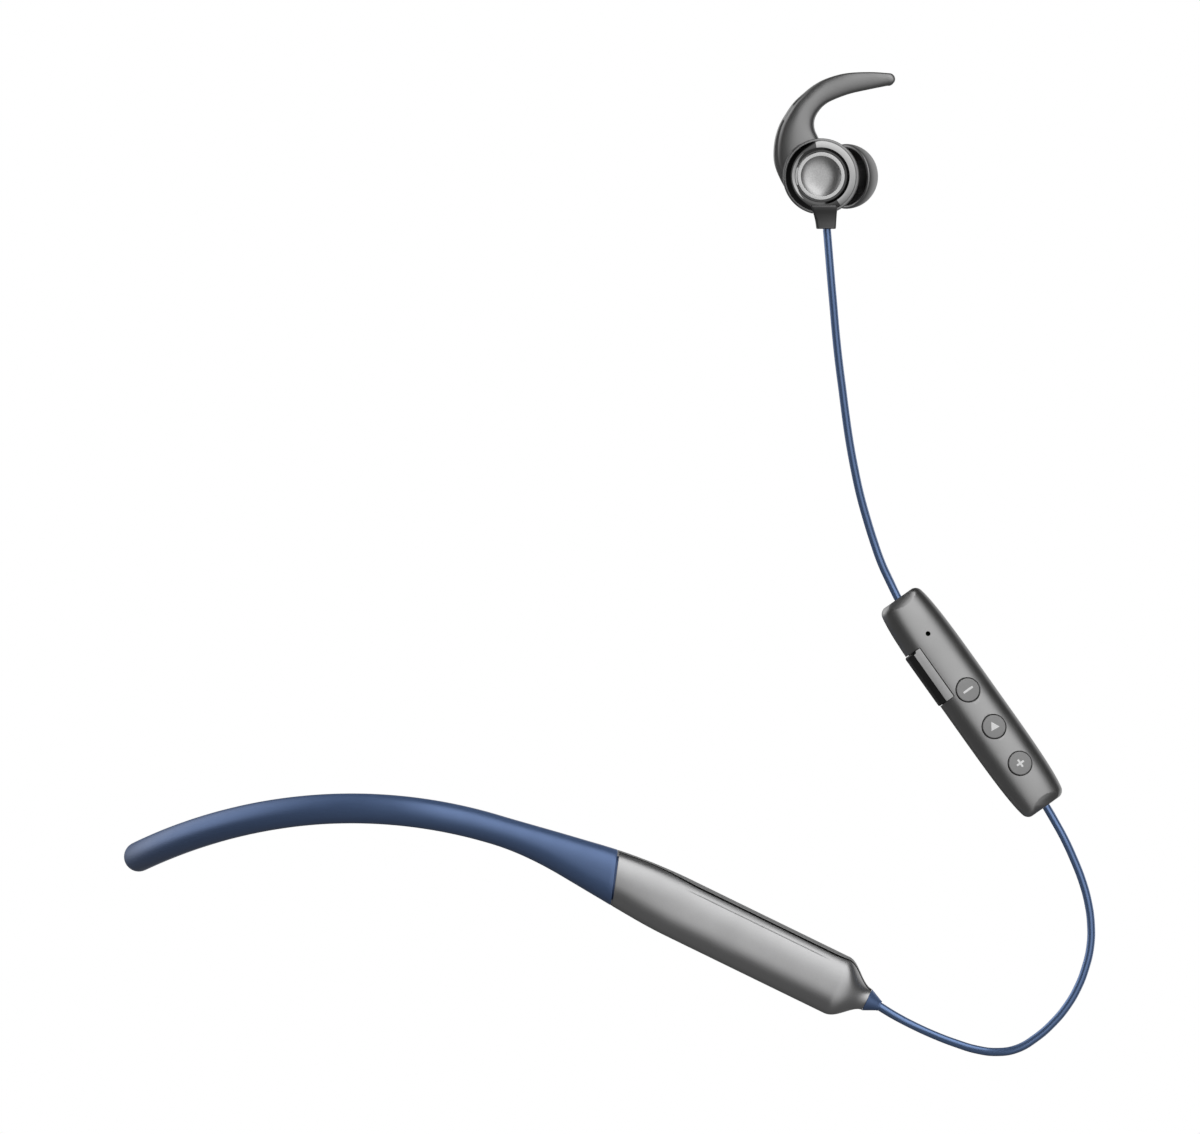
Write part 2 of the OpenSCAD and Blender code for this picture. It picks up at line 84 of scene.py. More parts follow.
def make_camera():
    data = bpy.data.cameras.new("camera")
    data.lens = LENS
    data.sensor_width = SENSOR
    data.clip_start = 1.0
    data.clip_end = 20.0
    camera = bpy.data.objects.new("camera", data)
    distance = PICTURE_WIDTH * LENS / SENSOR
    camera.location = SIGHT_LINE + Vector((0, NEAR_SIDE_Y - distance, 0))
    camera.rotation_euler = (PICTURE_CENTRE - camera.location).to_track_quat("-Z", "Y").to_euler()
    bpy.context.scene.collection.objects.link(camera)
    bpy.context.scene.camera = camera


make_camera()

# ---- small functions ----


def smooth(t):
    t = min(max(t, 0.0), 1.0)
    return t * t * (3 - 2 * t)


def mix(a, b, t):
    return a + (b - a) * t


def span(start, stop, steps):
    """steps + 1 values from start to stop."""
    return [mix(start, stop, k / steps) for k in range(steps + 1)]


def around(count):
    """count angles, evenly spaced over a full circle."""
    return [2 * math.pi * k / count for k in range(count)]


def turn(angle, axis):
    return Matrix.Rotation(math.radians(angle), 4, axis)


def through(points, per_gap):
    """A smooth curve through the points: tuples of numbers, with per_gap steps between two."""
    curve = []
    last = len(points) - 1
    for k in range(last):
        a, b, c, d = (points[min(max(k + j, 0), last)] for j in (-1, 0, 1, 2))
        for step in range(per_gap):
            t = step / per_gap
            curve.append(tuple(
                0.5 * (2 * q + (r - p) * t + (2 * p - 5 * q + 4 * r - s) * t * t
                       + (3 * q - p - 3 * r + s) * t ** 3)
                for p, q, r, s in zip(a, b, c, d)))
    curve.append(tuple(points[last]))
    return curve


def rounded(points, radii, steps=5, closed=True):
    """An outline of (x, y) points with its corners rounded; radii is one size or one each."""
    count = len(points)
    sizes = [radii] * count if isinstance(radii, (int, float)) else radii
    outline = []
    for k, (point, size) in enumerate(zip(points, sizes)):
        corner = Vector(point)
        if size == 0 or (not closed and k in (0, count - 1)):
            outline.append(tuple(corner))
            continue
        before = Vector(points[k - 1]) - corner
        after = Vector(points[(k + 1) % count]) - corner
        start = corner + before.normalized() * min(size, 0.48 * before.length)
        end = corner + after.normalized() * min(size, 0.48 * after.length)
        for t in span(0, 1, steps):
            outline.append(tuple(start * (1 - t) ** 2 + corner * (2 * t * (1 - t)) + end * t * t))
    return outline


# ---- meshes ----


def skin(rings, cap_start=True, cap_end=True):
    """Vertices and faces over closed rings with as many points each."""
    count = len(rings[0])
    last = len(rings) - 1
    faces = []
    for k in range(last):
        for i in range(count):
            j = (i + 1) % count
            faces.append((k * count + i, k * count + j, (k + 1) * count + j, (k + 1) * count + i))
    if cap_start:
        faces.append(tuple(range(count)))
    if cap_end:
        faces.append(tuple(last * count + i for i in range(count)))
    return [Vector(p) for ring in rings for p in ring], faces


def lathe(profile, sides=96, closed=False):
    """Vertices and faces of (radius, height) points turned about Z. A closed profile is a ring."""
    vertices, rows, faces = [], [], []
    for radius, height in profile:
        if radius < 1e-6:
            rows.append([len(vertices)] * sides)
            vertices.append(Vector((0, 0, height)))
            continue
        rows.append(list(range(len(vertices), len(vertices) + sides)))
        for angle in around(sides):
            vertices.append(Vector((radius * math.cos(angle), radius * math.sin(angle), height)))
    pairs = list(zip(rows, rows[1:] + rows[:1]))
    for low, high in pairs if closed else pairs[:-1]:
        for i in range(sides):
            j = (i + 1) % sides
            corners = list(dict.fromkeys((low[i], low[j], high[j], high[i])))
            if len(corners) > 2:
                faces.append(tuple(corners))
    return vertices, faces


def make(name, shape, place=Matrix.Identity(4), sharp=35):
    """A piece from vertices and faces, moved to its place. Edges sharper than sharp stay crisp."""
    vertices, faces = shape
    mesh = bpy.data.meshes.new(name)
    mesh.from_pydata([place @ Vector(v) for v in vertices], [], faces)
    work = bmesh.new()
    work.from_mesh(mesh)
    bmesh.ops.recalc_face_normals(work, faces=work.faces)
    work.to_mesh(mesh)
    work.free()
    mesh.shade_smooth()
    mesh.set_sharp_from_angle(angle=math.radians(sharp))
    piece = bpy.data.objects.new(name, mesh)
    bpy.context.scene.collection.objects.link(piece)
    return piece


def join(*shapes):
    """Several shapes as one."""
    vertices, faces = [], []
    for more_vertices, more_faces in shapes:
        offset = len(vertices)
        vertices += more_vertices
        faces += [tuple(i + offset for i in face) for face in more_faces]
    return vertices, faces


def carve(piece, shape, place, operation="DIFFERENCE", sharp=35):
    """Cuts a closed shape out of a piece, or adds it."""
    tool = make("tool", shape, place)
    cut = piece.modifiers.new("cut", "BOOLEAN")
    cut.object = tool
    cut.operation = operation
    cut.solver = "EXACT"
    settled = piece.evaluated_get(bpy.context.evaluated_depsgraph_get())
    mesh = bpy.data.meshes.new_from_object(settled)
    piece.modifiers.clear()
    piece.data = mesh
    mesh.shade_smooth()
    mesh.set_sharp_from_angle(angle=math.radians(sharp))
    bpy.data.objects.remove(tool)
    return piece


def second_look(piece, look, chosen):
    """Another material on the faces that chosen(face) picks."""
    piece.data.materials.append(LOOKS[look])
    for face in piece.data.polygons:
        if chosen(face):
            face.material_index = 1


MIRROR = Matrix.Diagonal((1, -1, 1, 1))


def on_side(side, place=Matrix.Identity(4)):
    return place if side == "right" else MIRROR @ place


# ---- materials, by name ----
LOOKS = {}


def surface(name, colour, roughness, metallic=0.0, tone=0.04, rough_spread=0.06,
            grain=5000, bump=0.1, depth=0.01 * MM, **sockets):
    """A material in LOOKS, whose tone, roughness and fine relief vary a little over a surface."""
    made = bpy.data.materials.new(name)
    made.use_nodes = True
    nodes, links = made.node_tree.nodes, made.node_tree.links
    shader = nodes["Principled BSDF"]
    where = nodes.new("ShaderNodeTexCoord").outputs["Object"]

    def noise(scale, detail):
        node = nodes.new("ShaderNodeTexNoise")
        node.inputs["Scale"].default_value = scale
        node.inputs["Detail"].default_value = detail
        links.new(where, node.inputs["Vector"])
        return node.outputs["Fac"]

    def ranged(value, low, high):
        node = nodes.new("ShaderNodeMapRange")
        node.inputs["From Min"].default_value = 0.3
        node.inputs["From Max"].default_value = 0.7
        node.inputs["To Min"].default_value = low
        node.inputs["To Max"].default_value = high
        links.new(value, node.inputs["Value"])
        return node.outputs["Result"]

    cloud = noise(grain / 40, 4)
    speck = noise(grain, 2)
    tint = nodes.new("ShaderNodeMix")
    tint.data_type = "RGBA"
    tint.inputs["A"].default_value = [c * (1 - tone) for c in colour] + [1]
    tint.inputs["B"].default_value = [c * (1 + tone) for c in colour] + [1]
    links.new(ranged(speck, 0, 1), tint.inputs["Factor"])
    links.new(tint.outputs["Result"], shader.inputs["Base Color"])
    links.new(ranged(cloud, roughness - rough_spread / 2, roughness + rough_spread / 2),
              shader.inputs["Roughness"])
    relief = nodes.new("ShaderNodeBump")
    relief.inputs["Strength"].default_value = bump
    relief.inputs["Distance"].default_value = depth
    links.new(speck, relief.inputs["Height"])
    links.new(relief.outputs["Normal"], shader.inputs["Normal"])
    shader.inputs["Metallic"].default_value = metallic
    for socket, value in sockets.items():
        shader.inputs[socket.replace("_", " ")].default_value = value
    LOOKS[name] = made


def grey(level):
    return (level, level, level)


surface("band_silicone", (0.165, 0.265, 0.520), 0.38, metallic=0.45,
        grain=9000, bump=0.15, Coat_Weight=0.3, Coat_Roughness=0.3)
surface("cord_jacket", (0.23, 0.365, 0.68), 0.22, metallic=0.55,
        grain=6000, bump=0.08, Coat_Weight=0.4, Coat_Roughness=0.2)
surface("pod_shell", (0.64, 0.64, 0.645), 0.34, metallic=0.9, tone=0.03, grain=7000, bump=0.12)
surface("pod_inner", grey(0.42), 0.42, metallic=0.35, grain=7000)
surface("remote_shell", grey(0.45), 0.31, metallic=0.9, tone=0.02, grain=7000, bump=0.06)
# Painted highlight: grey for the lit front face of the black rubber port cover.
surface("strip_painted_highlight", grey(0.50), 0.35, metallic=0.9, grain=7000)
surface("bud_metal", grey(0.52), 0.07, metallic=1.0, rough_spread=0.03, bump=0.03)
# Dark metal painted onto the bud's shoulder as a reflection of dark surroundings.
surface("bud_painted_dark_reflection", grey(0.10), 0.10, metallic=1.0, rough_spread=0.03, bump=0.03)
surface("button_grey", grey(0.36), 0.42, metallic=0.7, grain=6000)
surface("symbol_grey", grey(0.94), 0.45, metallic=0.8, grain=6000)
surface("dark_plastic", grey(0.05), 0.3, grain=6000)
surface("soft_silicone", grey(0.40), 0.34, metallic=0.85, grain=8000, bump=0.2)
surface("black_rubber", grey(0.03), 0.4, grain=8000, bump=0.2)
surface("collar_grey", grey(0.20), 0.36, metallic=0.8, grain=8000)
surface("cap_metal", grey(0.78), 0.26, metallic=1.0, grain=5000, bump=0.03)
surface("cap_blasted", grey(0.74), 0.38, metallic=1.0,
        tone=0.10, grain=3500, bump=0.35, depth=0.03 * MM)
surface("steel", grey(0.6), 0.3, metallic=1.0)
surface("cable_core", grey(0.05), 0.5)
surface("cell_wrap", (0.6, 0.61, 0.63), 0.35, metallic=0.7, bump=0.3, depth=0.05 * MM, grain=900)
surface("circuit_board", (0.02, 0.16, 0.07), 0.4, grain=1500, tone=0.3)


def finish_piece(piece, look, body, slot, *nodes):
    """Gives a piece its material, the body that it rides on and the CAD nodes it stands for."""
    piece.data.materials.clear()
    piece.data.materials.append(LOOKS[look])
    if nodes:
        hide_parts(*nodes)
    if body:
        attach(piece, body)
    return piece


# ---- cords: the routes of the CAD model, each from its lower end ----
LOWER_ROUTE = [
    (0.1456, -0.0620, -0.0298), (0.1490, -0.0620, -0.0319), (0.1530, -0.0620, -0.0340),
    (0.1570, -0.0625, -0.0358), (0.1610, -0.0630, -0.0373), (0.1650, -0.0635, -0.0385),
    (0.1690, -0.0640, -0.0390), (0.1730, -0.0645, -0.0384), (0.1770, -0.0650, -0.0361),
    (0.1804, -0.0655, -0.0331), (0.1830, -0.0660, -0.0300), (0.1852, -0.0665, -0.0263),
    (0.1868, -0.0670, -0.0222), (0.1878, -0.0675, -0.0178), (0.1879, -0.0680, -0.0132),
    (0.1873, -0.0685, -0.0089), (0.1861, -0.0690, -0.0046), (0.1844, -0.0695, -0.0003),
    (0.1826, -0.0700, 0.0036), (0.1808, -0.0700, 0.0069), (0.1790, -0.0700, 0.0100),
]
BEHIND_REMOTE = [
    (0.1760, -0.0700, 0.0142), (0.1730, -0.0700, 0.0184), (0.1700, -0.0700, 0.0226),
    (0.1670, -0.0700, 0.0268), (0.1640, -0.0700, 0.0310), (0.1610, -0.0700, 0.0352),
    (0.1580, -0.0700, 0.0394), (0.1550, -0.0700, 0.0437), (0.1520, -0.0700, 0.0479),
]
UPPER_ROUTE = [
    (0.1493, -0.0700, 0.0517), (0.1478, -0.0700, 0.0548), (0.1460, -0.0705, 0.0587),
    (0.1444, -0.0710, 0.0632), (0.1430, -0.0720, 0.0677), (0.1417, -0.0730, 0.0724),
    (0.1406, -0.0740, 0.0774), (0.1396, -0.0750, 0.0828), (0.1388, -0.0760, 0.0882),
    (0.1381, -0.0770, 0.0936), (0.1374, -0.0780, 0.0990), (0.1368, -0.0790, 0.1046),
    (0.1363, -0.0800, 0.1102), (0.1358, -0.0808, 0.1158), (0.1354, -0.0812, 0.1206),
    (0.1350, -0.0814, 0.1254),
]
CORD_D = 1.6 * MM
# The left cord hangs a little further out, as in the CAD model: away from the camera's line of
# sight, so that the right cord and earbud hide the left ones in spite of the perspective.
HANG_CENTRE = SIGHT_LINE
HANG_OUT = 1 / 4.950
HANG_UP = 1 / 4.450
HANG_BLEND = 5


def hang(point):
    """How far a point of the left cord lies from the mirror image of its right-hand twin."""
    away = Vector(point) - HANG_CENTRE
    side = abs(point[1])
    return Vector((away.x * side * HANG_OUT, 0, away.z * side * HANG_UP))


def left_route():
    route = LOWER_ROUTE + BEHIND_REMOTE + UPPER_ROUTE
    return [MIRROR @ (Vector(p) + hang(p) * smooth(k / HANG_BLEND)) for k, p in enumerate(route)]


def make_cord(name, route, body, stands_for):
    """A round cord along a route, as one open spline."""
    data = bpy.data.curves.new(name, "CURVE")
    data.dimensions = "3D"
    data.resolution_u = 8
    data.bevel_depth = CORD_D / 2
    data.bevel_resolution = 8
    data.use_fill_caps = True
    line = data.splines.new("BEZIER")
    line.bezier_points.add(len(route) - 1)
    for knot, point in zip(line.bezier_points, route):
        knot.co = point
        knot.handle_left_type = knot.handle_right_type = "AUTO"
    cord = bpy.data.objects.new(name, data)
    bpy.context.scene.collection.objects.link(cord)
    finish_piece(cord, "cord_jacket", body, "cord_jacket", stands_for)


make_cord("lower_cord_right", LOWER_ROUTE, "right_arm", "cord_lower_right")
make_cord("upper_cord_right", UPPER_ROUTE, "right_arm", "cord_upper_right")
make_cord("cord_left_whole", left_route(), "left_arm", "cord_left")

# ---- the line that band and pods follow ----
BAND_R = -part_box("neckband")[0].x / 2
ARM_GAP = 62 * MM
ARCH_R = 100 * MM
ARCH_PEAK_X = 40 * MM
SEAM_X = 92.5 * MM
POD_LENGTH = 56 * MM
POD_HEIGHT = 12.4 * MM
POD_THICK = 9.6 * MM
POD_SLOPE = 26
POD_WALL = 1.1 * MM

NAPE_X = -BAND_R
SLOPE = math.radians(POD_SLOPE)
ARCH_PEAK_Z = ARCH_R - math.sqrt(ARCH_R ** 2 - (ARCH_PEAK_X - NAPE_X) ** 2)
TANGENT_X = ARCH_PEAK_X + ARCH_R * math.sin(SLOPE)
TANGENT_Z = ARCH_PEAK_Z - ARCH_R * (1 - math.cos(SLOPE))
FLARE_FROM = 69 * MM
FLARE_TO = 105 * MM
POD_TOP = 0.555 * POD_HEIGHT
POD_BOTTOM = POD_HEIGHT - POD_TOP
POD_POWER = 2.7
SEAM_LEAN = math.radians(7.5)
LEAN_BLEND = 16 * MM


def arch_z(x):
    if x < TANGENT_X:
        return ARCH_PEAK_Z - ARCH_R + math.sqrt(ARCH_R ** 2 - (x - ARCH_PEAK_X) ** 2)
    return TANGENT_Z - (x - TANGENT_X) * math.tan(SLOPE)


def arch_slope(x):
    return math.asin((x - ARCH_PEAK_X) / ARCH_R) if x < TANGENT_X else SLOPE


def flare(x):
    return smooth((x - FLARE_FROM) / (FLARE_TO - FLARE_FROM))


def lean_at(x):
    return mix(SEAM_LEAN, arch_slope(x), smooth(abs(x - SEAM_X) / LEAN_BLEND))


def half_sizes(x):
    """Half width, top, bottom and squareness of the section, where the arch is at x."""
    share = flare(x)
    longer = 1 / math.cos(arch_slope(x) - lean_at(x))
    return (mix(BAND_R, POD_THICK / 2, share), mix(BAND_R, POD_TOP, share) * longer,
            mix(BAND_R, POD_BOTTOM, share) * longer, mix(2, POD_POWER, share))


def section_point(centre, side, up, sizes, angle):
    half_w, top, bottom, power = sizes
    c, s = math.cos(angle), math.sin(angle)
    height = top if s >= 0 else bottom
    return (centre + side * math.copysign(half_w * abs(c) ** (2 / power), c)
            + up * math.copysign(height * abs(s) ** (2 / power), s))


# ---- neckband: two halves that meet at the nape ----
QUARTER_TURN = ARM_GAP * math.pi / 2
HALF_BAND = QUARTER_TURN + SEAM_X - (ARM_GAP + NAPE_X)
BAND_STEPS = 150
BAND_SIDES = 56
BAND_LIP = 0.15 * MM
PLUG_INSET = 1.2 * MM
PLUG_LENGTH = 3 * MM


def band_place(s):
    """Centre of the right-hand band a way s from the nape, and its side and up directions."""
    angle = min(s / ARM_GAP, math.pi / 2)
    x = NAPE_X + ARM_GAP * (1 - math.cos(angle)) + max(s - QUARTER_TURN, 0)
    rise = math.tan(lean_at(x)) * math.sin(angle)
    centre = Vector((x, -ARM_GAP * math.sin(angle), arch_z(x)))
    side = Vector((math.cos(angle), math.sin(angle), 0))
    up = Vector((rise * math.sin(angle), -rise * math.cos(angle), 1)).normalized()
    return centre, side, up


def band_ring(s, inset):
    centre, side, up = band_place(s)
    half_w, top, bottom, power = half_sizes(centre.x)
    sizes = (half_w - inset, top - inset, bottom - inset, power)
    return [section_point(centre, side, up, sizes, angle) for angle in around(BAND_SIDES)]


def band_half():
    rings = [band_ring(s, 0) for s in span(0, HALF_BAND - BAND_LIP, BAND_STEPS)]
    for turned in span(0.3, math.pi / 2, 5):
        rings.append(band_ring(HALF_BAND - BAND_LIP * (1 - math.sin(turned)),
                               BAND_LIP * (1 - math.cos(turned))))
    # The end narrows to a plug inside the pod.
    rings.append(band_ring(HALF_BAND, PLUG_INSET))
    rings.append(band_ring(HALF_BAND + PLUG_LENGTH, PLUG_INSET))
    return skin(rings)


# What lies inside the band runs along its line.
WIRE_R = 0.6 * MM
WIRE_OFF_CENTRE = 0.8 * MM
WIRE_SIDES = 12
WIRE_STEPS = 60


def wire_half(height):
    rings = []
    for s in span(0, HALF_BAND + PLUG_LENGTH, WIRE_STEPS):
        centre, side, up = band_place(s)
        centre.z += height
        rings.append([section_point(centre, side, up, (WIRE_R, WIRE_R, WIRE_R, 2), angle)
                      for angle in around(WIRE_SIDES)])
    return skin(rings)


for SIDE in SIDES:
    for NAME, SHAPE, LOOK, NODE in (
            ("band_half_", band_half(), "band_silicone", "neckband"),
            ("core_wire_", wire_half(WIRE_OFF_CENTRE), "steel", "core_wire"),
            ("link_cable_", wire_half(-WIRE_OFF_CENTRE), "cable_core", "link_cable")):
        half = make(NAME + SIDE, SHAPE, on_side(SIDE), sharp=60)
        finish_piece(half, LOOK, None, LOOK, NODE)
        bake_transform(half)

# ---- pods ----
SEAM_GAP = 0.35 * MM
NOSE_LENGTH = 6.8 * MM
NOSE_FROM = POD_LENGTH - NOSE_LENGTH
NOSE_R = 2.35 * MM
NOSE_LIFT = (POD_TOP - POD_BOTTOM) / 2
NOSE_HOLE_R = 0.9 * MM
PARTING_BOTTOM = 270
PARTING_TOP = 110
PARTING_DROP = 11
PARTING_FROM = 6 * MM
PARTING_BLEND = 10 * MM
PARTING_RETURN = 3 * MM
PARTING_GAP = 7.5
SKIN_DEPTH = 0.35 * MM
SHELL_LIP = 0.10 * MM
LIP_ANGLE = 2.0
FACE_MARGIN = 2.5
REBATE = 12
REBATE_WALL = 0.9 * MM
TONGUE_CLEAR = 0.05 * MM
TONGUE_SHORT = 3
CREASE_ANGLE = 143
CREASE_FROM = 13 * MM
CREASE_TO = 47 * MM
CREASE_FADE = 4 * MM
CREASE_DEPTH = 0.07 * MM
CREASE_SPREAD = 1.1
CREASE_REACH = 2.8
CREASE_STEPS = 8
NOSE_BELLY = 1.35
POD_STEPS = 84
POD_NOSE_STEPS = 30
POD_ARC_STEPS = 40

POD_AXIS = Vector((math.cos(SLOPE), 0, -math.sin(SLOPE)))
POD_UP = Vector((math.sin(SLOPE), 0, math.cos(SLOPE)))
SEAM_CENTRE = Vector((SEAM_X, -ARM_GAP, arch_z(SEAM_X)))


def on_pod(along, across=0, up=0):
    return SEAM_CENTRE + POD_AXIS * along + Vector((0, across, 0)) + POD_UP * up


def nose(a):
    """1 along the body, falling to 0 at the end of the nose."""
    return 1 - smooth((a - NOSE_FROM) / NOSE_LENGTH)


def parting_top(a):
    """Angle of the upper parting line, which runs below the top edge between seam and nose."""
    drop = smooth((a - PARTING_FROM) / PARTING_BLEND) * nose(a + PARTING_RETURN)
    return PARTING_TOP + PARTING_DROP * drop


def parting_gap(a):
    """Angle that the gap between the shells takes up: more where the pod is narrower."""
    return PARTING_GAP / mix(NOSE_R / POD_TOP, 1, nose(a))


def crease(a, angle):
    """Depth of the fine crease along the outer shell's face."""
    along = smooth((a - CREASE_FROM) / CREASE_FADE) * smooth((CREASE_TO - a) / CREASE_FADE)
    return CREASE_DEPTH * along * math.exp(-((angle - CREASE_ANGLE) / CREASE_SPREAD) ** 2)


def pod_point(a, inset, angle):
    """A point of the pod's section, inset below its skin. Its sides and belly reach further along."""
    share = nose(a)
    low_share = 1 - (1 - share) ** NOSE_BELLY
    centre = on_pod(a, 0, NOSE_LIFT * (1 - share))
    lean = lean_at(centre.x)
    half_w, top, bottom, power = half_sizes(centre.x)
    least = NOSE_HOLE_R if inset > 0.5 * POD_WALL else 0
    sizes = tuple(max(mix(NOSE_R, full, way) - inset, least)
                  for full, way in ((half_w, low_share), (top, share), (bottom, low_share)))
    up = Vector((math.sin(lean), 0, math.cos(lean)))
    return section_point(centre, Vector((0, 1, 0)), up, sizes + (mix(2, power, share),),
                         math.radians(angle))


def lip(angle, inwards):
    """Angle and depth of the points that round a shell's edge, from its face inwards."""
    return [(angle + inwards * LIP_ANGLE * (1 - math.sin(t)), SHELL_LIP * (1 - math.cos(t)))
            for t in span(0, math.pi / 2, 4)]


def outer_shell_outline(a, top, bottom):
    """(angle, depth) points round the outer shell's section, with a rebate at both edges."""
    angles = span(top + FACE_MARGIN, bottom - FACE_MARGIN, POD_ARC_STEPS)
    angles += span(CREASE_ANGLE - CREASE_REACH, CREASE_ANGLE + CREASE_REACH, CREASE_STEPS)
    face = [(angle, crease(a, angle)) for angle in sorted(angles)]
    back = [(angle, POD_WALL) for angle in span(bottom - REBATE, top + REBATE, POD_ARC_STEPS // 2)]
    start = lip(top, 1)[::-1]
    end = lip(bottom, -1)
    return (start + face + end + [(bottom, REBATE_WALL), (bottom - REBATE, REBATE_WALL)] + back
            + [(top + REBATE, REBATE_WALL), (top, REBATE_WALL)])


def inner_shell_outline(bottom, top):
    """The same for the inner shell, whose tongues reach under the outer shell's edges."""
    tongue = REBATE_WALL + TONGUE_CLEAR
    reach = REBATE - TONGUE_SHORT
    face = [(angle, 0) for angle in span(bottom + FACE_MARGIN, top - FACE_MARGIN, POD_ARC_STEPS)]
    back = [(angle, POD_WALL) for angle in span(top + reach, bottom - reach, POD_ARC_STEPS // 2)]
    start = lip(bottom, 1)[::-1]
    end = lip(top, -1)
    return (start + face + end + [(top, tongue), (top + reach, tongue)] + back
            + [(bottom - reach, tongue), (bottom, tongue)])


def pod_stations():
    body = span(SEAM_GAP + SHELL_LIP, NOSE_FROM, POD_STEPS)
    return body + span(NOSE_FROM, POD_LENGTH, POD_NOSE_STEPS)[1:]


def pod_casing(outline_at):
    """A shell whose section at each station is a closed outline of (angle, depth) points."""
    rings = []
    for t in span(0, math.pi / 2, 4)[:-1]:
        a = SEAM_GAP + SHELL_LIP * (1 - math.sin(t))
        inset = SHELL_LIP * (1 - math.cos(t))
        rings.append([pod_point(a, min(depth + inset, POD_WALL), angle)
                      for angle, depth in outline_at(a)])
    rings.reverse()
    for a in pod_stations():
        rings.append([pod_point(a, depth, angle) for angle, depth in outline_at(a)])
    return skin(rings)


def outer_casing():
    return pod_casing(lambda a: outer_shell_outline(a, parting_top(a) + parting_gap(a) / 2,
                                                    PARTING_BOTTOM - parting_gap(a) / 2))


def inner_casing():
    return pod_casing(lambda a: inner_shell_outline(PARTING_BOTTOM - 360 + parting_gap(a) / 2,
                                                    parting_top(a) - parting_gap(a) / 2))


def is_inside(point):
    """True well below a pod's outer skin, on either side."""
    across = abs(point.y) - ARM_GAP
    flat = Vector((point.x, -ARM_GAP, point.z)) - SEAM_CENTRE
    a = min(max(flat.dot(POD_AXIS), 0), POD_LENGTH)
    centre = on_pod(a, 0, NOSE_LIFT * (1 - nose(a)))
    half_w, top, bottom, power = half_sizes(centre.x)
    up = (point - centre).dot(POD_UP)
    half_h = mix(NOSE_R, top if up > 0 else bottom, nose(a)) - SKIN_DEPTH
    half_w = mix(NOSE_R, half_w, nose(a)) - SKIN_DEPTH
    return abs(across / half_w) ** power + abs(up / half_h) ** power < 1


# Tapered blue sleeve round the cord at the nose.
RELIEF_LENGTH = 2.9 * MM
RELIEF_END_R = 1.1 * MM
RELIEF_PLUG = 3 * MM
RELIEF_PLACE = Matrix.Translation(on_pod(POD_LENGTH, 0, NOSE_LIFT)) @ turn(90 + POD_SLOPE, "Y")


def strain_relief():
    plug_r = NOSE_HOLE_R - 0.05 * MM
    profile = rounded([
        (0, -RELIEF_PLUG), (plug_r, -RELIEF_PLUG), (plug_r, 0.05 * MM), (NOSE_R, 0.05 * MM),
        (RELIEF_END_R, RELIEF_LENGTH - 0.25 * MM), (RELIEF_END_R, RELIEF_LENGTH), (0, RELIEF_LENGTH),
    ], [0, 0.1 * MM, 0, 0.12 * MM, 0.2 * MM, 0.1 * MM, 0], closed=False)
    return lathe(profile, 64)


for SIDE in SIDES:
    ARM = SIDE + "_arm"
    OUTER = make("pod_outer_casing_" + SIDE, outer_casing(), on_side(SIDE), sharp=40)
    finish_piece(OUTER, "pod_shell", ARM, "pod_shell", "pod_outer_shell_" + SIDE)
    second_look(OUTER, "black_rubber", lambda face: is_inside(face.center))
    INNER = make("pod_inner_casing_" + SIDE, inner_casing(), on_side(SIDE), sharp=40)
    finish_piece(INNER, "pod_inner", ARM, "dark_plastic", "pod_inner_shell_" + SIDE)
    second_look(INNER, "black_rubber", lambda face: is_inside(face.center))
    finish_piece(make("pod_sleeve_" + SIDE, strain_relief(), on_side(SIDE, RELIEF_PLACE)),
                 "band_silicone", ARM, "band_silicone", "pod_strain_relief_" + SIDE)

# ---- remote: X runs down it from its top end, Z comes out of its face ----
REMOTE_TILT = 54.6
FACE_TURN = 14
REMOTE = Matrix.Translation(UPPER_ROUTE[0]) @ turn(REMOTE_TILT, "Y") @ turn(90 - FACE_TURN, "X")
REMOTE_LENGTH = 51 * MM
REMOTE_WIDTH = 11.4 * MM
REMOTE_THICK = 6.8 * MM
REMOTE_END_WIDTH = 8.4 * MM
REMOTE_END_THICK = 4.6 * MM
REMOTE_WALL = 0.9 * MM
REMOTE_POWER = 2.15
SWELL_POWER = 4
REMOTE_STEPS = 90
REMOTE_ARC_STEPS = 48
REMOTE_LIP = 0.12 * MM
# Angles from the joint between the halves at which a half's lip, inside and face begin.
LIP_START = 0.25
INSIDE_START = 0.4
FACE_START = 1.2
END_RUN = 1.3 * MM
END_TUCK = 0.9 * MM
BUTTON_X = 23 * MM
BUTTON_PITCH = 9 * MM
BUTTON_R = 2.4 * MM
WELL_GAP = 0.16 * MM
WELL_FLOOR = 1.2 * MM
OVERCUT = 2 * MM
MIC_X = 9.2 * MM
MIC_R = 0.5 * MM
COVER_X = 10.6 * MM
COVER_LENGTH = 11.8 * MM
COVER_LOW = -2 * MM
COVER_DEPTH = 2.8 * MM
COVER_OUT = 5.8 * MM
COVER_GAP = 0.08 * MM
COVER_FREE_GAP = 0.12 * MM
FACET_DEPTH = 1.15 * MM
FACET_RISE = 0.75 * MM
FACET_RUN = 2.6 * MM
FACET_PAST = 0.4 * MM
FACET_TALL = 6 * MM


def remote_point(x, inset, angle):
    t = min(abs(2 * x / REMOTE_LENGTH - 1), 1.0)
    swell = math.sqrt(1 - t ** SWELL_POWER)
    half_w = mix(REMOTE_END_WIDTH, REMOTE_WIDTH, swell) / 2 - inset
    half_t = mix(REMOTE_END_THICK, REMOTE_THICK, swell) / 2 - inset
    return section_point(Vector((x, 0, 0)), Vector((0, 1, 0)), Vector((0, 0, 1)),
                         (half_w, half_t, half_t, REMOTE_POWER), math.radians(angle))


